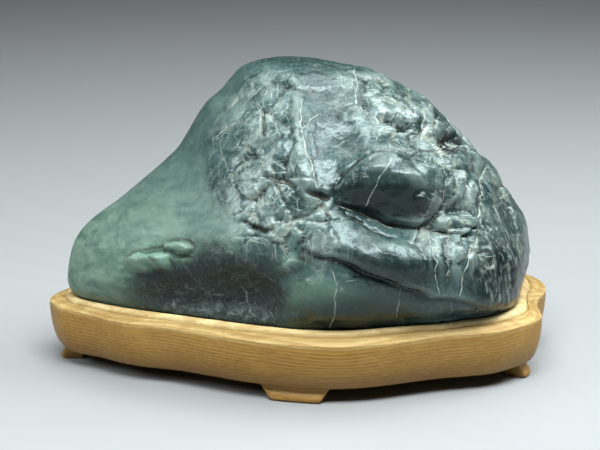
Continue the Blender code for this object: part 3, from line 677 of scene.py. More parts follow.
# Painted shade: near-black lines along the open cracks, under the feet of lumps and blocks, in the
# notch and in the gap where the stone meets the rim.
CRACK_SHADE_LINES = (
    ("crack A", 1, 0.9, ((-40.5, 41.5), (-32.5, 40), (-25.5, 37))),
    ("crack B", 1.1, 0.9, ((-53, 12.5), (-46.5, 9.5), (-40.5, 7.5))),
    ("hole", 1.2, 1, ((-12.5, 31.5), (-6, 29.5), (-2.5, 28))),
    ("lower ledge", 0.8, 0.8, ((-12.5, -7.5), (-4, -10), (5.5, -10.5), (11.5, -13.5),
        (16.5, -18))),
    ("lower ledge", 0.8, 0.6, ((22.5, -20), (35.5, -24.5), (46.5, -29))),
    ("knob foot", 0.8, 0.9, ((4, 25.5), (15, 23), (25.5, 19), (35.5, 13.5), (46.5, 11.5))),
    ("second crack", 0.7, 0.8, ((7, 21), (11.5, 18), (18, 15), (22.5, 11.5), (27, 8.5))),
    ("block foot", 1.2, 0.8, ((53.5, 18), (62.5, 17.5))),
    ("lump foot", 1, 0.8, ((66, 9), (75, 7.5))),
    ("joint", 0.7, 0.7, ((89.5, 53.5), (92.5, 42))),
    ("joint", 0.6, 0.6, ((68.5, 34.5), (70.5, 28))),
    ("top lump foot", 0.8, 0.8, ((28, 81), (32, 79), (38.5, 80), (42, 86))),
    ("crown crack", 0.5, 0.7, ((-13.5, 113), (-7.5, 110), (-2.5, 107.5), (3, 105))),
    ("notch", 1.2, 0.8, ((69.5, 65), (73, 70), (80, 65.5), (81.5, 61), (70.5, 61))),
    ("notch", 0.8, 0.7, ((56, 62.5), (67.5, 61))),
    ("crown spot", 0.9, 0.6, ((18.5, 104), (18.5, 96.5))),
    ("top step", 0.6, 0.7, ((-25.5, 108), (-28.5, 101.5), (-20, 99), (-7.5, 98))),
    ("upright crack", 0.5, 0.7, ((-45.5, 89), (-43, 83.5), (-43, 74), (-41.5, 67.5))),
    ("nub foot", 0.9, 0.7, ((-27.5, -13), (-24, -17))),
    ("lump foot", 1.4, 0.5, ((-124, -17.5), (-115, -20), (-105, -17))),
    ("rim gap", 1.4, 0.6, ((13, -51), (24.5, -51.5), (40, -49.5))),
    ("pocket", 1.2, 0.7, ((13.5, -20.5), (21, -21))),
)
print(len(RUST), "lines of rust and", len(CRACK_SHADE_LINES), "of dirt")

# %% How near each point lies to a line
def drawn_lines(across, up, lines):
    """The nearest line's signed distance in half widths, and its strength.

    The sign says which side of the line a point is on. Between two points it passes through
    zero exactly on the line, so the material can draw a line finer than the mesh. The
    strength fades to zero past the line's ends and three half widths away from it.
    """
    place, strongest = np.full(len(across), 9.0), np.zeros(len(across))
    for _, half_width, strength, line in lines:
        distance, side, share = line_field(across, up, line)
        ratio = distance / half_width
        here = strength * smooth_step(0.0, 0.04, share) * smooth_step(1.0, 0.96, share)
        nearer = ratio < np.abs(place)
        place = np.where(nearer, np.where(side < 0.0, -ratio, ratio), place)
        strongest = np.where(nearer, here, strongest)
    return np.clip(place, -3.0, 3.0), strongest * smooth_step(3.0, 1.8, np.abs(place))


LINE_WANDER, LINE_CELL = 0.8, 6.0
drawn_s = s + LINE_WANDER * rough_noise(points, LINE_CELL, 4, 61)
drawn_t = t + LINE_WANDER * rough_noise(points, LINE_CELL, 4, 66)
vein_place, vein = drawn_lines(drawn_s, drawn_t, VEINS)
rust_place, rust = drawn_lines(drawn_s, drawn_t, RUST)
crack_shade_place, crack_shade = drawn_lines(drawn_s, drawn_t, CRACK_SHADE_LINES)
vein_rise = facing * vein * np.exp(-vein_place ** 2)
crack_sink = facing * crack_shade * np.exp(-crack_shade_place ** 2)
print("points on a vein:", int((vein_rise > 0.4).sum()), "in dirt:", int((crack_sink > 0.4).sum()))

# %% The stone's relief
VEIN_RISE, CRACK_DEPTH = 0.18, 0.3
SWELL_CELL, GRIT_CELL, KNURL_CELL = 20.0, 2.6, 8.0
RELIEF_FADE = 3.0

# Fine relief fades out at the rim, where the recess fits the bare form. The left end has
# little swell, the hollow is gritty, and the lumps over it are gnarled.
clear = smooth_step(RIM_CLEAR, RIM_CLEAR + RELIEF_FADE, points[:, 2])
left_smooth = smooth_step(-30.0, -70.0, x)
swell = rough_noise(points, SWELL_CELL, 4, 71) * (0.15 + 0.75 * (1.0 - left_smooth))
grit = (0.05 + 0.10 * broken + 0.30 * hollow) * rough_noise(points, GRIT_CELL, 2, 81)
knurl = (1.6 * gnarled + 0.35 * hollow) * rough_noise(points, KNURL_CELL, 4, 86)
relief = form + clear * (ledge + facet + VEIN_RISE * vein_rise - CRACK_DEPTH * crack_sink
                         + swell + grit + knurl)
print("relief: %.1f to %.1f mm" % (relief.min(), relief.max()))

# %% The stone's mesh
# The underside is flat: below the base plane, heights are drawn up to it by a soft maximum.
stone_points = swept(stone_direction, stone_radius + relief)
stone_points[:, 2] = BASE_Z + BASE_ROUNDING * np.logaddexp(
    0.0, (stone_points[:, 2] - BASE_Z) / BASE_ROUNDING)


def new_piece(name, points_mm, faces):
    """A smooth mesh object from points in millimetres."""
    mesh = bpy.data.meshes.new(name)
    mesh.from_pydata((points_mm * MM).tolist(), [], faces)
    mesh.shade_smooth()
    piece = bpy.data.objects.new(name, mesh)
    bpy.context.collection.objects.link(piece)
    return piece


def store(piece, name, values):
    """Keeps one number for each point, for the material to read."""
    layer = piece.data.attributes.new(name, "FLOAT", "POINT")
    layer.data.foreach_set("value", np.asarray(values, np.float32))


stone = new_piece("worn_stone", stone_points, stone_faces.tolist())
print("stone: %.1f x %.1f x %.1f mm" % tuple(np.ptp(stone_points, axis=0)))

# %% Edges and hollows of the relief
def spread(values, faces, rounds):
    """Each round replaces a point's value by the mean of its neighbours' along the edges."""
    here, there = faces.ravel(), np.roll(faces, 1, 1).ravel()
    degree = np.bincount(here)
    for _ in range(rounds):
        values = np.bincount(here, values[there]) / degree
    return values


# The relief less its own spread mean is positive on edges and negative in hollows.
SPREAD_ROUNDS, FULL_EDGE = 14, 0.8
edge = np.clip((relief - spread(relief, stone_faces, SPREAD_ROUNDS)) / FULL_EDGE, -1.0, 1.0)
store(stone, "edge", edge)
print("edges: %.2f of the points, hollows: %.2f" % ((edge > 0.3).mean(), (edge < -0.3).mean()))

# %% Values that the material reads
joint = (broken * np.exp(-(wide[0] / 0.6) ** 2)
         + 0.8 * broken ** 2 * np.exp(-(fine[0] / 0.45) ** 2))
striated = facing * smooth_step(84.0, 100.0, s + 3.0 * cloud)
stone_values = {
    "flank": flank, "hollow": hollow, "olive": olive, "broken": broken, "painted_shade": painted_shade,
    "gnarled": gnarled, "joint": np.clip(joint, 0.0, 1.0), "striated": striated,
    "vein_place": vein_place, "vein": facing * vein,
    "rust_place": rust_place, "rust": facing * rust,
    "crack_shade_place": crack_shade_place, "crack_shade": facing * crack_shade,
}
for name, values in stone_values.items():
    store(stone, name, values)
    print(name, "mean %.3f" % values.mean())

# %% [markdown]
# ## The stand
#
# The stand is one board of pale wood. A router cut its recess, and its rim was shaped by
# hand: a sloping band, a thin groove, then a round bead that meets the stone. The wall curves
# in below a crisp shoulder, and five low feet are left standing under it.
#
# A lathe tool or a bevelled curve can't make this rim, because it is narrow at the tips and
# wide at the front. Instead, one profile is carried round the outline, and at every place it
# is stretched between the shoulder and the stone. The recess is the stone's own section at
# the height of the rim, moved out by a small gap.

# %% Outline of the stand
SHOULDER_Z, CONTACT_Z, RECESS_Z = 39.5, 46.0, 33.7
RECESS_GAP = 0.95
WALL_FOOT_Z, WALL_INSET, LIP_DROP, FOOT_THICKNESS = 10.0, 8.5, 0.6, 11.0
# Places on the shoulder, from the left tip anticlockwise as seen from above.
RIM_OUTLINE = (
    (-161, 5), (-157, -6), (-151, -14), (-143, -19), (-134, -24), (-117, -36), (-104, -42),
    (-79, -50), (-57, -60), (-36, -69), (-17, -75), (1, -79), (24, -81), (48, -77),
    (69, -70), (90, -63), (107, -59), (124, -54), (136, -46), (145, -38), (150.5, -31),
    (151.5, -20), (151, -9), (153, 3), (158, 13), (161, 24), (160, 40), (152, 55),
    (134, 66), (114, 71), (90, 77), (60, 83.5), (30, 86.8), (0, 85.6), (-30, 81), (-60, 72),
    (-86, 63), (-108, 58), (-128, 50), (-143, 38), (-153, 24), (-159, 14),
)
RIM_STEPS = 760


def closed_curve(marks, count):
    """Points at even steps along a smooth closed curve through the marks.

    Each stretch is a cubic. Its end slopes weigh the two neighbouring chords by each other's
    length, so that close marks make tight turns.
    """
    knots = np.array(marks, float)
    chord = np.linalg.norm(np.roll(knots, -1, 0) - knots, axis=1)
    before = np.roll(chord, 1)
    slope = (np.roll(knots, -1, 0) - knots) / chord[:, None]
    tangent = slope * before[:, None] + np.roll(slope, 1, 0) * chord[:, None]
    tangent /= (before + chord)[:, None]
    u = np.linspace(0.0, 1.0, 24, endpoint=False)[None, :, None]
    start, end = knots[:, None], np.roll(knots, -1, 0)[:, None]
    leave, arrive = tangent[:, None], np.roll(tangent, -1, 0)[:, None]
    span = chord[:, None, None]
    curve = ((2 * u**3 - 3 * u**2 + 1) * start + (u**3 - 2 * u**2 + u) * span * leave
             + (3 * u**2 - 2 * u**3) * end + (u**3 - u**2) * span * arrive).reshape(-1, 2)
    closed = np.vstack([curve, curve[:1]])
    run = np.concatenate([[0.0], np.cumsum(np.linalg.norm(np.diff(closed, axis=0), axis=1))])
    where = np.arange(count) / count * run[-1]
    return np.stack([np.interp(where, run, closed[:, k]) for k in (0, 1)], 1), run[-1]


# Each place looks inward to its own point on a short spine of the board, so that the lines
# don't cross in the narrow tips.
SPINE_SHARE = (0.62, 0.1)

outline, rim_length = closed_curve(RIM_OUTLINE, RIM_STEPS)
inward = outline * SPINE_SHARE - outline
inward /= np.linalg.norm(inward, axis=1, keepdims=True)
print("the rim is %.0f mm long" % rim_length)

# %% The stone's section at the rim, and the recess edge
SECTION_STEPS, HALVINGS = 5760, 24
STEEPEST_DOWN, STEEPEST_UP = -1.2, 0.3
WIDEST_RIM = 60.0


def stone_section(height, count):
    """The base form's outline at a height, by halving the angle to the horizontal."""
    azimuth = np.linspace(0.0, 2 * np.pi, count, endpoint=False)
    low, high = np.full(count, STEEPEST_DOWN), np.full(count, STEEPEST_UP)
    for _ in range(HALVINGS):
        middle = 0.5 * (low + high)
        ring = np.stack([np.cos(middle) * np.cos(azimuth), np.cos(middle) * np.sin(azimuth),
                         np.sin(middle)], 1)
        surface = swept(ring, base_radius(ring))
        higher = surface[:, 2] > height
        high = np.where(higher, middle, high)
        low = np.where(higher, low, middle)
    return surface[:, :2]


def recess_edge(count):
    """For each place on the outline, the point straight inward of it on the moved section."""
    loop = stone_section(CONTACT_Z, count)
    along = np.roll(loop, -1, 0) - np.roll(loop, 1, 0)
    along /= np.linalg.norm(along, axis=1, keepdims=True)
    loop = loop + RECESS_GAP * np.stack([along[:, 1], -along[:, 0]], 1)
    to_loop = loop[None] - outline[:, None]
    ahead = (to_loop * inward[:, None]).sum(2)
    aside = to_loop[..., 0] * inward[:, 1:] - to_loop[..., 1] * inward[:, :1]
    aside = np.where((ahead < 0.0) | (ahead > WIDEST_RIM), np.inf, np.abs(aside))
    return loop[aside.argmin(1)]


recess = recess_edge(SECTION_STEPS)
recess = sum(np.roll(recess, k, 0) for k in (-1, 0, 1)) / 3.0
rim_width = np.linalg.norm(recess - outline, axis=1)
print("the rim is %.1f to %.1f mm wide" % (rim_width.min(), rim_width.max()))

# %% Feet
# A point on the outline near the middle of each foot, its half length on the floor, and its
# half length where it meets the wall.
FEET = (
    ((-158, 13), 12.0, 14.5),
    ((-3, -78), 15.0, 24.0),
    ((151, -26), 12.0, 14.5),
    ((118, 70), 12.0, 22.0),
    ((-90, 62), 12.0, 22.0),
)
drop = np.full(RIM_STEPS, LIP_DROP)
for mark, stand_half, top_half in FEET:
    middle = np.linalg.norm(outline - mark, axis=1).argmin()
    apart = np.abs((np.arange(RIM_STEPS) - middle + RIM_STEPS / 2) % RIM_STEPS - RIM_STEPS / 2)
    fall = 1.0 - smooth_step(stand_half, top_half, apart * rim_length / RIM_STEPS)
    drop = np.maximum(drop, WALL_FOOT_Z * fall)
print("share of the rim that stands on a foot: %.2f" % (drop > WALL_FOOT_Z - 0.1).mean())

# %% Profile of the rim, the wall and the foot
# Share of the way from the shoulder to the recess, and height.
RIM_PROFILE = (
    (0.02, 39.78), (0.05, 40.05), (0.12, 40.6), (0.2, 41.2), (0.3, 41.9), (0.4, 42.55),
    (0.47, 42.95), (0.5, 43.05), (0.522, 42.95), (0.54, 42.45), (0.555, 42.25), (0.57, 42.45),
    (0.59, 43.2), (0.615, 44), (0.65, 44.75), (0.69, 45.35), (0.74, 45.85), (0.79, 46.2),
    (0.84, 46.4), (0.89, 46.45), (0.935, 46.35), (0.97, 46.15), (0.99, 45.95),
)
WALL_RINGS, FOOT_RINGS = 17, 14
TOE_OUT, TOE_ROUNDING, WAIST_IN = 2.3, 1.6, 0.5


def stand_rings():
    """Every ring of the stand, from the middle of the recess to the middle of the underside.

    The wall is a quarter ellipse: it goes in by inset * (1 - sqrt(1 - u^2)) at share u of its
    fall. A foot goes on down from it by its own drop. Its waist draws in by half a sine, and
    its toe turns out again.
    """
    def ring(plan, z):
        """A plan curve at one height, or at a height for each point."""
        return np.column_stack([plan, np.broadcast_to(z, len(plan))])

    def inset(distance):
        """The outline moved inward by one distance, or by a distance for each point."""
        return outline + inward * np.reshape(distance, (-1, 1))

    floor = [ring(recess * share, RECESS_Z) for share in (0.25, 0.5, 0.75, 0.94, 1.0)]
    side = [ring(recess, z) for z in (36.0, 40.0, 43.0, 45.0, CONTACT_Z)]
    rim = [ring(outline + (recess - outline) * share, z)
           for share, z in reversed(RIM_PROFILE)]
    wall = []
    for u in np.sin(np.linspace(0.03, 0.5, WALL_RINGS) * np.pi):
        wall.append(ring(inset(WALL_INSET * (1.0 - math.sqrt(max(1.0 - u * u, 0.0)))),
                         SHOULDER_Z + (WALL_FOOT_Z - SHOULDER_Z) * u))
    share = drop / WALL_FOOT_Z
    foot = []
    for down in np.linspace(0.08, 1.0, FOOT_RINGS):
        toe = (TOE_OUT * smooth_step(0.30, 0.80, down)
               - TOE_ROUNDING * smooth_step(0.80, 1.0, down) ** 2)
        waist = WAIST_IN * math.sin(math.pi * min(down / 0.5, 1.0))
        foot.append(ring(inset(WALL_INSET - (toe - waist) * share ** 2),
                         WALL_FOOT_Z - down * drop))
    sole = [ring(inset(WALL_INSET + FOOT_THICKNESS * k), WALL_FOOT_Z - drop)
            for k in (0.12, 0.5, 1.0)]
    under = [ring(inset(WALL_INSET + FOOT_THICKNESS + 1.0), WALL_FOOT_Z)]
    under += [ring(outline * k, WALL_FOOT_Z) for k in (0.6, 0.3)]
    return np.stack(floor + side + rim + wall + foot + sole + under)


rings = stand_rings()
print(rings.shape[0], "rings of", rings.shape[1], "points")

# %% The stand's mesh
def closed_rings(rings, top, bottom):
    """Points and faces of a stack of rings, closed by a fan at the top and at the bottom."""
    steps, count = rings.shape[:2]
    here = np.arange(count)
    after = (here + 1) % count
    level = np.arange(steps - 1)[:, None] * count
    quads = np.stack([level + here, level + count + here, level + count + after,
                      level + after], -1).reshape(-1, 4)
    last = (steps - 1) * count
    total = steps * count
    top_fan = np.stack([np.full(count, total), here, after], 1)
    bottom_fan = np.stack([np.full(count, total + 1), last + after, last + here], 1)
    points = np.concatenate([rings.reshape(-1, 3), [top], [bottom]])
    return points, quads.tolist() + top_fan.tolist() + bottom_fan.tolist()


stand_points, stand_faces = closed_rings(rings, (0.0, 0.0, RECESS_Z), (0.0, 0.0, WALL_FOOT_Z))
CREASE_ANGLE = math.radians(38.0)
BEAD_FOOT_Z, BEAD_TOP_Z = 42.6, 45.0
stand = new_piece("pale_wood_stand", stand_points, stand_faces)
stand.data.set_sharp_from_angle(angle=CREASE_ANGLE)
stand_z = stand_points[:, 2]
store(stand, "rim", smooth_step(SHOULDER_Z - 0.8, SHOULDER_Z + 0.6, stand_z))
store(stand, "bead", smooth_step(BEAD_FOOT_Z, BEAD_TOP_Z, stand_z))
print("stand: %.1f x %.1f x %.1f mm" % tuple(np.ptp(stand_points, axis=0)))

# %% [markdown]
# ## Materials
#
# Both materials are procedural. Nodes read Object coordinates, so a pattern keeps its size in
# metres, and the values stored on the points, so a colour keeps its place. A few helpers make
# the node trees short enough to read.

# %% Helpers for node trees
def add_node(tree, kind, inputs=None, **settings):
    """A node with its settings; each input gets a number or another node's output."""
    node = tree.nodes.new("ShaderNode" + kind)
    for name, value in settings.items():
        setattr(node, name, value)
    for name, value in (inputs or {}).items():
        if isinstance(value, bpy.types.NodeSocket):
            tree.links.new(value, node.inputs[name])
        else:
            node.inputs[name].default_value = value
    return node


def kept(tree, name):
    """A value stored on the points."""
    return add_node(tree, "Attribute", attribute_name=name).outputs["Fac"]


def math_node(tree, operation, *values):
    """One arithmetic step."""
    inputs = dict(enumerate(values))
    return add_node(tree, "Math", inputs, operation=operation).outputs[0]


def times(tree, first, second):
    """A product, which makes a mask weaker or holds it inside another."""
    return math_node(tree, "MULTIPLY", first, second)


def between(tree, value, low, high, to_low=0.0, to_high=1.0):
    """A value carried smoothly from one range to another."""
    inputs = {"Value": value, "From Min": low, "From Max": high, "To Min": to_low,
              "To Max": to_high}
    return add_node(tree, "MapRange", inputs, interpolation_type="SMOOTHSTEP").outputs["Result"]


def blend(tree, share, first, second):
    """Two colours mixed by a share: 0 gives the first and 1 the second."""
    node = add_node(tree, "Mix", data_type="RGBA")
    tree.links.new(share, node.inputs[0])
    for slot, value in ((6, first), (7, second)):
        if isinstance(value, bpy.types.NodeSocket):
            tree.links.new(value, node.inputs[slot])
        else:
            node.inputs[slot].default_value = (*value, 1.0)
    return node.outputs[2]


def tinted(tree, colour, tint, mask, strength):
    """The colour moved towards a tint where the mask is, at most by the strength."""
    return blend(tree, times(tree, mask, strength), colour, tint)


def new_material(name):
    """A material, its tree and its Principled shader."""
    material = bpy.data.materials.new(name)
    material.use_nodes = True
    return material, material.node_tree, material.node_tree.nodes["Principled BSDF"]


print("helpers ready")

# %% [markdown]
# ## Clouds for stone and for wood
#
# Neither material is one flat colour. The same effect serves both: noise in a stretched
# space, with its middle range drawn apart into a mask. It is a node group, built once, with
# inputs for its place, stretch, scale and range.

# %% The cloud group
def cloud_group():
    """A group: noise at (place * stretch), with low..high spread over 0..1."""
    group = bpy.data.node_groups.new("clouds", "ShaderNodeTree")
    for name, kind, value in (("Place", "NodeSocketVector", None),
                              ("Stretch", "NodeSocketVector", (1.0, 1.0, 1.0)),
                              ("Scale", "NodeSocketFloat", 40.0),
                              ("Detail", "NodeSocketFloat", 4.0),
                              ("Bend", "NodeSocketFloat", 0.0),
                              ("Low", "NodeSocketFloat", 0.3),
                              ("High", "NodeSocketFloat", 0.7)):
        socket = group.interface.new_socket(name, in_out="INPUT", socket_type=kind)
        if value is not None:
            socket.default_value = value
    group.interface.new_socket("Mask", in_out="OUTPUT", socket_type="NodeSocketFloat")
    outside = group.nodes.new("NodeGroupInput").outputs
    stretched = add_node(group, "VectorMath", {0: outside["Place"], 1: outside["Stretch"]},
                         operation="MULTIPLY").outputs[0]
    noise = add_node(group, "TexNoise", {"Vector": stretched, "Scale": outside["Scale"],
                                         "Detail": outside["Detail"],
                                         "Distortion": outside["Bend"]}).outputs["Fac"]
    mask = between(group, noise, outside["Low"], outside["High"])
    group.links.new(mask, group.nodes.new("NodeGroupOutput").inputs["Mask"])
    return group


CLOUDS = cloud_group()


def clouds(tree, place, scale, stretch=(1.0, 1.0, 1.0), low=0.3, high=0.7, detail=4.0, bend=0.0):
    """The cloud group's mask in one of the materials."""
    node = tree.nodes.new("ShaderNodeGroup")
    node.node_tree = CLOUDS
    tree.links.new(place, node.inputs["Place"])
    for name, value in (("Stretch", stretch), ("Scale", scale), ("Low", low), ("High", high),
                        ("Detail", detail), ("Bend", bend)):
        node.inputs[name].default_value = value
    return node.outputs["Mask"]


print("group:", CLOUDS.name, [item.name for item in CLOUDS.interface.items_tree])

# %% [markdown]
# ## The stone's finish
#
# The stone is dark green and waxed by handling, so its faces shine where they turn up and
# look nearly black where they turn away. The shine is in the shader: a dark base colour and a
# low roughness under broad lights. The near black of the turned-away faces is partly painted
# shade: the knob's underside, the band's foot, the base and the right end are painted nearly
# black. The flank is greener and duller, because water kept it rough, and it darkens towards
# the top. The hollow at its foot is black and dull, partly its own stone and partly painted
# shade, with fine grey scratches. The lumps over the hollow and the lobe at the base are
# greener still, and the lobe is painted darker towards its foot as painted shade.
#
# Wear has paled the edges of the relief, and painted shade darkens its hollows. A pale crust
# lies on the broken ground and in its joints. The right end is striated, as if combed.
#
# Fine hairlines of pale mineral run everywhere in the broken ground. They are the borders of
# Voronoi cells in bent space, at two sizes, and they are let through in patches.

# %% Stone: its material, and thin lines in bent space
material_stone, tree, shader = new_material("waxed_green_stone")
place = add_node(tree, "TexCoord").outputs["Object"]


def hairlines(tree, place, scale, stretch, width, bend):
    """Thin lines along the borders of Voronoi cells, after noise has bent the space."""
    sway = add_node(tree, "TexNoise", {"Vector": place, "Scale": scale * 0.8, "Detail": 2.0})
    centred = add_node(tree, "VectorMath", {0: sway.outputs["Color"], 1: (0.5, 0.5, 0.5)},
                       operation="SUBTRACT").outputs[0]
    moved = add_node(tree, "VectorMath", {0: centred, "Scale": bend / scale},
                     operation="SCALE").outputs[0]
    bent = add_node(tree, "VectorMath", {0: place, 1: moved}, operation="ADD").outputs[0]
    stretched = add_node(tree, "VectorMath", {0: bent, 1: stretch},
                         operation="MULTIPLY").outputs[0]
    cells = add_node(tree, "TexVoronoi", {"Vector": stretched, "Scale": scale},
                     feature="DISTANCE_TO_EDGE").outputs["Distance"]
    return between(tree, cells, 0.0, width, 1.0, 0.0)


print("stone material:", material_stone.name)

# %% Stone: patterns and kept values
dark_cloud = clouds(tree, place, 38.0, low=0.32, high=0.68, detail=6.0)
fleck = clouds(tree, place, 420.0, low=0.45, high=0.75, detail=3.0)
brushed = clouds(tree, place, 90.0, stretch=(0.45, 1.0, 1.3), low=0.36, high=0.64, detail=9.0,
                 bend=0.6)
streak = clouds(tree, place, 260.0, stretch=(0.25, 1.0, 1.0), low=0.35, high=0.75)
crust = clouds(tree, place, 62.0, low=0.42, high=0.66, detail=9.0, bend=0.8)
scratch = clouds(tree, place, 230.0, stretch=(1.1, 1.0, 0.8), low=0.47, high=0.66, detail=9.0,
                 bend=1.2)
striae = clouds(tree, place, 420.0, stretch=(1.0, 1.0, 0.13), low=0.50, high=0.72, detail=4.0)
striae = times(tree, striae, kept(tree, "striated"))
height = add_node(tree, "SeparateXYZ", {0: place}).outputs["Z"]
flank, hollow, olive, painted_shade, gnarled, broken, joint, edge = (kept(tree, name) for name in (
    "flank", "hollow", "olive", "painted_shade", "gnarled", "broken", "joint", "edge"))
print("stone nodes:", len(tree.nodes))

# %% Stone: colour of the ground
TEAL_DEEP, TEAL_PALE = (0.010, 0.025, 0.026), (0.040, 0.075, 0.073)
GREEN_DEEP, GREEN_PALE = (0.052, 0.104, 0.078), (0.128, 0.200, 0.150)
FLECK_TINT, STREAK_TINT = (0.13, 0.18, 0.165), (0.22, 0.30, 0.24)
HIGH_FLANK = (0.036, 0.064, 0.064)
HOLLOW_BLACK_AND_SHADE, SCRATCH_GREY = (0.010, 0.014, 0.012), (0.085, 0.105, 0.102)
GNARLED_GREEN = (0.120, 0.230, 0.160)
OLIVE_LOBE, OLIVE_FOOT_SHADE = (0.074, 0.132, 0.096), (0.012, 0.022, 0.014)

teal = blend(tree, dark_cloud, TEAL_DEEP, TEAL_PALE)
teal = tinted(tree, teal, FLECK_TINT, fleck, 0.35)
green = blend(tree, brushed, GREEN_DEEP, GREEN_PALE)
green = tinted(tree, green, STREAK_TINT, streak, 0.3)
green = blend(tree, between(tree, height, 0.06, 0.15, 0.0, 0.82), green, HIGH_FLANK)
colour = blend(tree, flank, teal, green)
# Partly painted shade: the hollow is tinted nearly black, partly as its own dull black stone and
# partly as shade where it turns under the lumps.
colour = tinted(tree, colour, HOLLOW_BLACK_AND_SHADE, hollow, 0.92)
colour = tinted(tree, colour, SCRATCH_GREY, scratch, times(tree, hollow, 0.42))
colour = tinted(tree, colour, GNARLED_GREEN, gnarled, 0.7)
colour = tinted(tree, colour, OLIVE_LOBE, olive, 0.9)
# Painted shade: the olive lobe darkens to near black towards its foot, where it curves under.
colour = tinted(tree, colour, OLIVE_FOOT_SHADE, olive, between(tree, height, 0.070, 0.048))
print("stone nodes:", len(tree.nodes))

# %% Stone: wear, crust, painted shade in hollows and painted shade on turned-away faces
WORN_EDGE, CRUST_TINT = (0.16, 0.21, 0.19), (0.20, 0.265, 0.245)
CREVICE_SHADE, PAINTED_SHADE_TINT = (0.008, 0.010, 0.009), (0.006, 0.010, 0.010)
STRIAE_TINT = (0.21, 0.27, 0.25)

colour = tinted(tree, colour, WORN_EDGE, between(tree, edge, 0.15, 1.0), 0.40)
chalk = times(tree, crust, between(tree, broken, 0.05, 0.6))
colour = tinted(tree, colour, CRUST_TINT, chalk, 0.5)
# Painted shade: the hollows of the relief are darkened towards black.
colour = tinted(tree, colour, CREVICE_SHADE, between(tree, edge, -0.15, -1.0), 0.7)
# Painted shade: the faces turned from the light are painted nearly black. The same mask keeps the
# hairlines off them.
painted_shade = times(tree, painted_shade, 0.95)
colour = blend(tree, painted_shade, colour, PAINTED_SHADE_TINT)
colour = tinted(tree, colour, STRIAE_TINT, striae, 0.55)
print("stone nodes:", len(tree.nodes))

# %% Stone: hairlines
HAIRLINE_TINT = (0.27, 0.33, 0.29)

fine_lines = hairlines(tree, place, 210.0, (1.0, 1.0, 0.8), 0.07, 0.35)
wide_lines = hairlines(tree, place, 85.0, (1.0, 1.0, 0.6), 0.035, 0.4)
let_through = clouds(tree, place, 110.0, low=0.42, high=0.60, detail=4.0)
rough_ground = between(tree, broken, 0.15, 0.8, 0.22, 1.0)
lines = math_node(tree, "MAXIMUM", times(tree, fine_lines, 0.45), wide_lines)
lines = times(tree, lines, times(tree, let_through, rough_ground))
lines = times(tree, lines, math_node(tree, "SUBTRACT", 1.0, painted_shade))
colour = tinted(tree, colour, HAIRLINE_TINT, lines, 0.75)
print("stone nodes:", len(tree.nodes))

# %% Stone: veins, joints, painted crack shade and rust
VEIN_TINT, JOINT_TINT = (0.36, 0.39, 0.33), (0.36, 0.40, 0.34)
CRACK_SHADE_TINT, RUST_TINT = (0.006, 0.006, 0.005), (0.105, 0.085, 0.052)

line_width = clouds(tree, place, 150.0, low=0.25, high=0.75, detail=5.0)
line_width = between(tree, line_width, 0.0, 1.0, 0.35, 1.5)


def drawn(tree, name, core, soft):
    """A drawn line: its strength inside the core, fading to nothing over the soft width."""
    apart = math_node(tree, "ABSOLUTE", kept(tree, name + "_place"))
    apart = math_node(tree, "DIVIDE", apart, line_width)
    return times(tree, between(tree, apart, core, core + soft, 1.0, 0.0), kept(tree, name))


vein = drawn(tree, "vein", 0.08, 0.6)
rust, crack_shade = drawn(tree, "rust", 0.2, 1.1), drawn(tree, "crack_shade", 0.2, 0.9)
vein_break = clouds(tree, place, 320.0, low=0.36, high=0.60, detail=6.0)
whole = between(tree, math_node(tree, "ADD", vein, vein_break), 0.7, 1.3)
colour = tinted(tree, colour, VEIN_TINT, vein, times(tree, whole, 0.9))
joint_crust = times(tree, between(tree, crust, 0.0, 0.5), 0.9)
colour = tinted(tree, colour, JOINT_TINT, joint, joint_crust)
# Painted shade: the crack lines are blended towards black.
colour = blend(tree, between(tree, crack_shade, 0.15, 0.8), colour, CRACK_SHADE_TINT)
colour = tinted(tree, colour, RUST_TINT, rust, times(tree, vein_break, 0.7))
tree.links.new(colour, shader.inputs["Base Color"])
print("stone nodes:", len(tree.nodes))

# %% Stone: gloss and fine relief
BUMP_STRENGTH, BUMP_DEPTH = 0.8, 0.0007
STONE_IOR, STONE_SPECULAR_TINT = 1.47, (0.84, 0.98, 1.0, 1.0)

gloss_cloud = clouds(tree, place, 55.0, low=0.3, high=0.7)
matte = between(tree, gloss_cloud, 0.0, 1.0, 0.17, 0.29)
marked = math_node(tree, "MAXIMUM", vein, math_node(tree, "MAXIMUM", rust, crack_shade))
for mask, amount in ((flank, 0.20), (hollow, 0.26), (marked, 0.2)):
    matte = math_node(tree, "ADD", matte, times(tree, mask, amount))
tree.links.new(matte, shader.inputs["Roughness"])

pits = clouds(tree, place, 900.0, low=0.2, high=0.8, detail=2.0)
ripple = clouds(tree, place, 240.0, low=0.1, high=0.9, detail=4.0)
fine_relief = math_node(tree, "ADD", times(tree, pits, 0.10), times(tree, ripple, 0.42))
fine_relief = math_node(tree, "SUBTRACT", fine_relief, times(tree, lines, 0.25))
for mask, amount in ((striae, 0.4), (scratch, times(tree, hollow, 1.2))):
    fine_relief = math_node(tree, "ADD", fine_relief, times(tree, mask, amount))
bump = add_node(tree, "Bump", {"Height": fine_relief, "Strength": BUMP_STRENGTH,
                               "Distance": BUMP_DEPTH})
tree.links.new(bump.outputs["Normal"], shader.inputs["Normal"])
shader.inputs["IOR"].default_value = STONE_IOR
shader.inputs["Specular Tint"].default_value = STONE_SPECULAR_TINT
stone.data.materials.append(material_stone)
print("stone material:", material_stone.name, len(tree.nodes), "nodes")

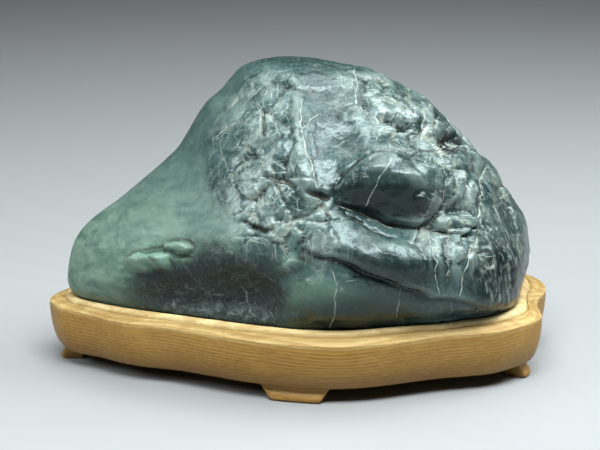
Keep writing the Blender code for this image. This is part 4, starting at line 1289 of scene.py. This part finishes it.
# %% [markdown]
# ## The stand's finish
#
# The stand is one board, so its grain is one set of growth rings, cut by every surface that
# the router left. The rings are long sheets round a line far below the board: the distance
# to that line, bent by long noise, is cut into rings. Fine fibres, pores and bands run along
# the board over them. The rim is paler than the wall. The bead is painted palest of all, as
# painted light, and the wall's foot is painted darker, as painted shade. A thin varnish
# gives the board a soft shine.

# %% Wood: grain
# In metres: the heart of the tree, the width of a ring, and how far the rings wander.
PITH = (0.03, -0.02, -0.45)
RING_SPACING, RING_SWAY, SWAY_SCALE = 0.0023, 0.016, 16.0
ACROSS_GRAIN = (0.045, 1.0, 1.0)

material_wood, tree, shader = new_material("pale_varnished_wood")
place = add_node(tree, "TexCoord").outputs["Object"]


def growth_rings(tree, place, pith, spacing):
    """Rings round a line along X through the pith: a sawtooth of the distance to that line.

    The distance is bent by noise first. Wood darkens slowly through a season and starts the
    next one pale, so the tooth climbs over most of a ring and falls steeply at its end.
    """
    moved = add_node(tree, "VectorMath", {0: place, 1: pith}, operation="SUBTRACT").outputs[0]
    across_grain = add_node(tree, "VectorMath", {0: moved, 1: ACROSS_GRAIN},
                            operation="MULTIPLY").outputs[0]
    sway = add_node(tree, "TexNoise", {"Vector": across_grain, "Scale": SWAY_SCALE, "Detail": 3.0})
    distance = add_node(tree, "VectorMath", {0: across_grain}, operation="LENGTH").outputs["Value"]
    bent = math_node(tree, "ADD", distance, times(tree, sway.outputs["Fac"], RING_SWAY))
    tooth = math_node(tree, "FRACT", math_node(tree, "DIVIDE", bent, spacing))
    line = times(tree, between(tree, tooth, 0.05, 0.85), between(tree, tooth, 1.0, 0.86))
    strength = clouds(tree, place, 120.0, stretch=(0.06, 1.0, 1.0), low=0.25, high=0.5)
    return times(tree, line, strength)


rings_mask = growth_rings(tree, place, PITH, RING_SPACING)
fibre = clouds(tree, place, 700.0, stretch=(0.018, 1.0, 1.0), low=0.3, high=0.75, detail=4.0)
pores = clouds(tree, place, 1300.0, stretch=(0.03, 1.0, 1.0), low=0.58, high=0.70, detail=1.0)
band = clouds(tree, place, 170.0, stretch=(0.025, 1.0, 1.0), low=0.38, high=0.62, detail=5.0)
blotch = clouds(tree, place, 22.0, stretch=(0.4, 1.0, 1.0), low=0.3, high=0.7)
rim, bead = kept(tree, "rim"), kept(tree, "bead")
height = add_node(tree, "SeparateXYZ", {0: place}).outputs["Z"]
wall_foot_shade = between(tree, height, 0.032, 0.012)
print("wood nodes:", len(tree.nodes))

# %% Wood: colour and shine
WALL_PALE, WALL_RING = (0.395, 0.208, 0.034), (0.205, 0.084, 0.009)
WALL_FOOT_SHADE_TINT, WALL_TOP_TINT = (0.15, 0.060, 0.008), (0.26, 0.12, 0.014)
RIM_PALE, RIM_RING = (0.51, 0.385, 0.170), (0.34, 0.215, 0.075)
BEAD_LIGHT_TINT = (0.80, 0.63, 0.32)
BAND_TINT, FIBRE_TINT = (0.225, 0.098, 0.013), (0.46, 0.31, 0.100)
PORE_TINT, BLOTCH_TINT = (0.14, 0.070, 0.015), (0.50, 0.34, 0.12)
VARNISH_TINT = (1.0, 0.88, 0.66, 1.0)

wall_tone = blend(tree, rings_mask, WALL_PALE, WALL_RING)
# Painted shade: the wall darkens towards its foot, where it curves in under the shoulder.
wall_tone = tinted(tree, wall_tone, WALL_FOOT_SHADE_TINT, wall_foot_shade, 0.72)
wall_tone = tinted(tree, wall_tone, WALL_TOP_TINT, between(tree, height, 0.028, 0.038), 0.35)
rim_tone = blend(tree, rings_mask, RIM_PALE, RIM_RING)
# Painted light: the bead is lifted to the palest tone, where the stone shades it.
rim_tone = blend(tree, bead, rim_tone, BEAD_LIGHT_TINT)
colour = blend(tree, rim, wall_tone, rim_tone)
for tint, mask, strength in ((BAND_TINT, band, 0.52), (FIBRE_TINT, fibre, 0.30),
                             (PORE_TINT, pores, 0.35), (BLOTCH_TINT, blotch, 0.15)):
    colour = tinted(tree, colour, tint, mask, strength)
tree.links.new(colour, shader.inputs["Base Color"])
tree.links.new(between(tree, fibre, 0.0, 1.0, 0.40, 0.54), shader.inputs["Roughness"])
furrow = math_node(tree, "ADD", times(tree, fibre, -0.4), times(tree, pores, -0.6))
bump = add_node(tree, "Bump", {"Height": furrow, "Strength": 0.25, "Distance": 0.0003})
tree.links.new(bump.outputs["Normal"], shader.inputs["Normal"])
shader.inputs["Specular Tint"].default_value = VARNISH_TINT
stand.data.materials.append(material_wood)
print("wood material:", material_wood.name, len(tree.nodes), "nodes")

# %% [markdown]
# ## Floor, light and camera
#
# Dark waxed stone shows its form only by what it mirrors, so the size and place of a light
# matter more than its strength. Four broad soft lights stand round the object, as in a
# product studio. The key hangs high in front and draws the highlights on the upper faces.
# One at the right and a weak one at the left model both ends, and one overhead keeps the
# crest and the floor even. A pale floor fills the view. The camera looks down a little from
# in front with a long lens.

# %% Floor
FLOOR_HALF = 3.0
FLOOR_GREY = (0.28, 0.285, 0.29, 1.0)
floor_mesh = bpy.data.meshes.new("floor")
corners = [(-FLOOR_HALF, -FLOOR_HALF, 0), (FLOOR_HALF, -FLOOR_HALF, 0),
           (FLOOR_HALF, FLOOR_HALF, 0), (-FLOOR_HALF, FLOOR_HALF, 0)]
floor_mesh.from_pydata(corners, [], [(0, 1, 2, 3)])
floor = bpy.data.objects.new("floor", floor_mesh)
bpy.context.collection.objects.link(floor)
material_floor, tree, shader = new_material("pale_floor")
shader.inputs["Base Color"].default_value = FLOOR_GREY
shader.inputs["Roughness"].default_value = 0.9
floor.data.materials.append(material_floor)
print("floor:", 2 * FLOOR_HALF, "m square")

# %% Lights
COOL_WHITE, SOFT_WHITE = (0.93, 0.99, 1.0), (0.95, 0.99, 1.0)
# Name, place and aim in metres, width, depth, power in watts, colour.
LIGHTS = (
    ("key", (0.06, -0.55, 1.12), (0.0, 0.0, 0.07), 0.95, 0.34, 25.0, COOL_WHITE),
    ("side", (0.85, 0.05, 0.95), (0.06, 0.0, 0.10), 0.68, 0.36, 13.0, COOL_WHITE),
    ("fill", (-0.88, -0.32, 0.66), (-0.03, 0.0, 0.09), 0.50, 0.36, 5.0, COOL_WHITE),
    ("ceiling", (0.1, 0.14, 1.2), (0.0, 0.0, 0.08), 1.1, 0.5, 12.0, SOFT_WHITE),
)
STUDIO_GREY, STUDIO_STRENGTH = (0.75, 0.80, 0.84, 1.0), 0.03


def soft_light(name, place, aim, width, depth, power, colour):
    """A rectangular soft light that faces a point."""
    lamp = bpy.data.lights.new(name, "AREA")
    lamp.shape, lamp.size, lamp.size_y = "RECTANGLE", width, depth
    lamp.energy, lamp.color = power, colour
    holder = bpy.data.objects.new(name, lamp)
    holder.location = place
    view = mathutils.Vector(aim) - mathutils.Vector(place)
    holder.rotation_euler = view.to_track_quat("-Z", "Y").to_euler()
    bpy.context.collection.objects.link(holder)


for light in LIGHTS:
    soft_light(*light)
world = bpy.data.worlds.new("studio")
world.use_nodes = True
background = world.node_tree.nodes["Background"]
background.inputs["Color"].default_value = STUDIO_GREY
background.inputs["Strength"].default_value = STUDIO_STRENGTH
bpy.context.scene.world = world
bpy.context.scene.view_settings.view_transform = "Standard"
print("lights:", [light[0] for light in LIGHTS])

# %% Camera
ELEVATION = math.radians(17.0)
AIM = mathutils.Vector((0.0, 0.052, 0.075))
DISTANCE, FOCAL_LENGTH, SENSOR = 1.1, 99.4, 36.0
camera_data = bpy.data.cameras.new("camera")
camera_data.lens, camera_data.sensor_width = FOCAL_LENGTH, SENSOR
camera = bpy.data.objects.new("camera", camera_data)
outward = mathutils.Vector((0.0, -math.cos(ELEVATION), math.sin(ELEVATION)))
camera.location = AIM + DISTANCE * outward
camera.rotation_euler = (AIM - camera.location).to_track_quat("-Z", "Y").to_euler()
bpy.context.collection.objects.link(camera)
bpy.context.scene.camera = camera
print("camera at", tuple(round(value, 3) for value in camera.location))

# %% Join the pieces to the frame
for piece, node, slot in ((stone, "stone", "stone"), (stand, "stand", "wood")):
    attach(piece, "root")
    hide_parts(node)
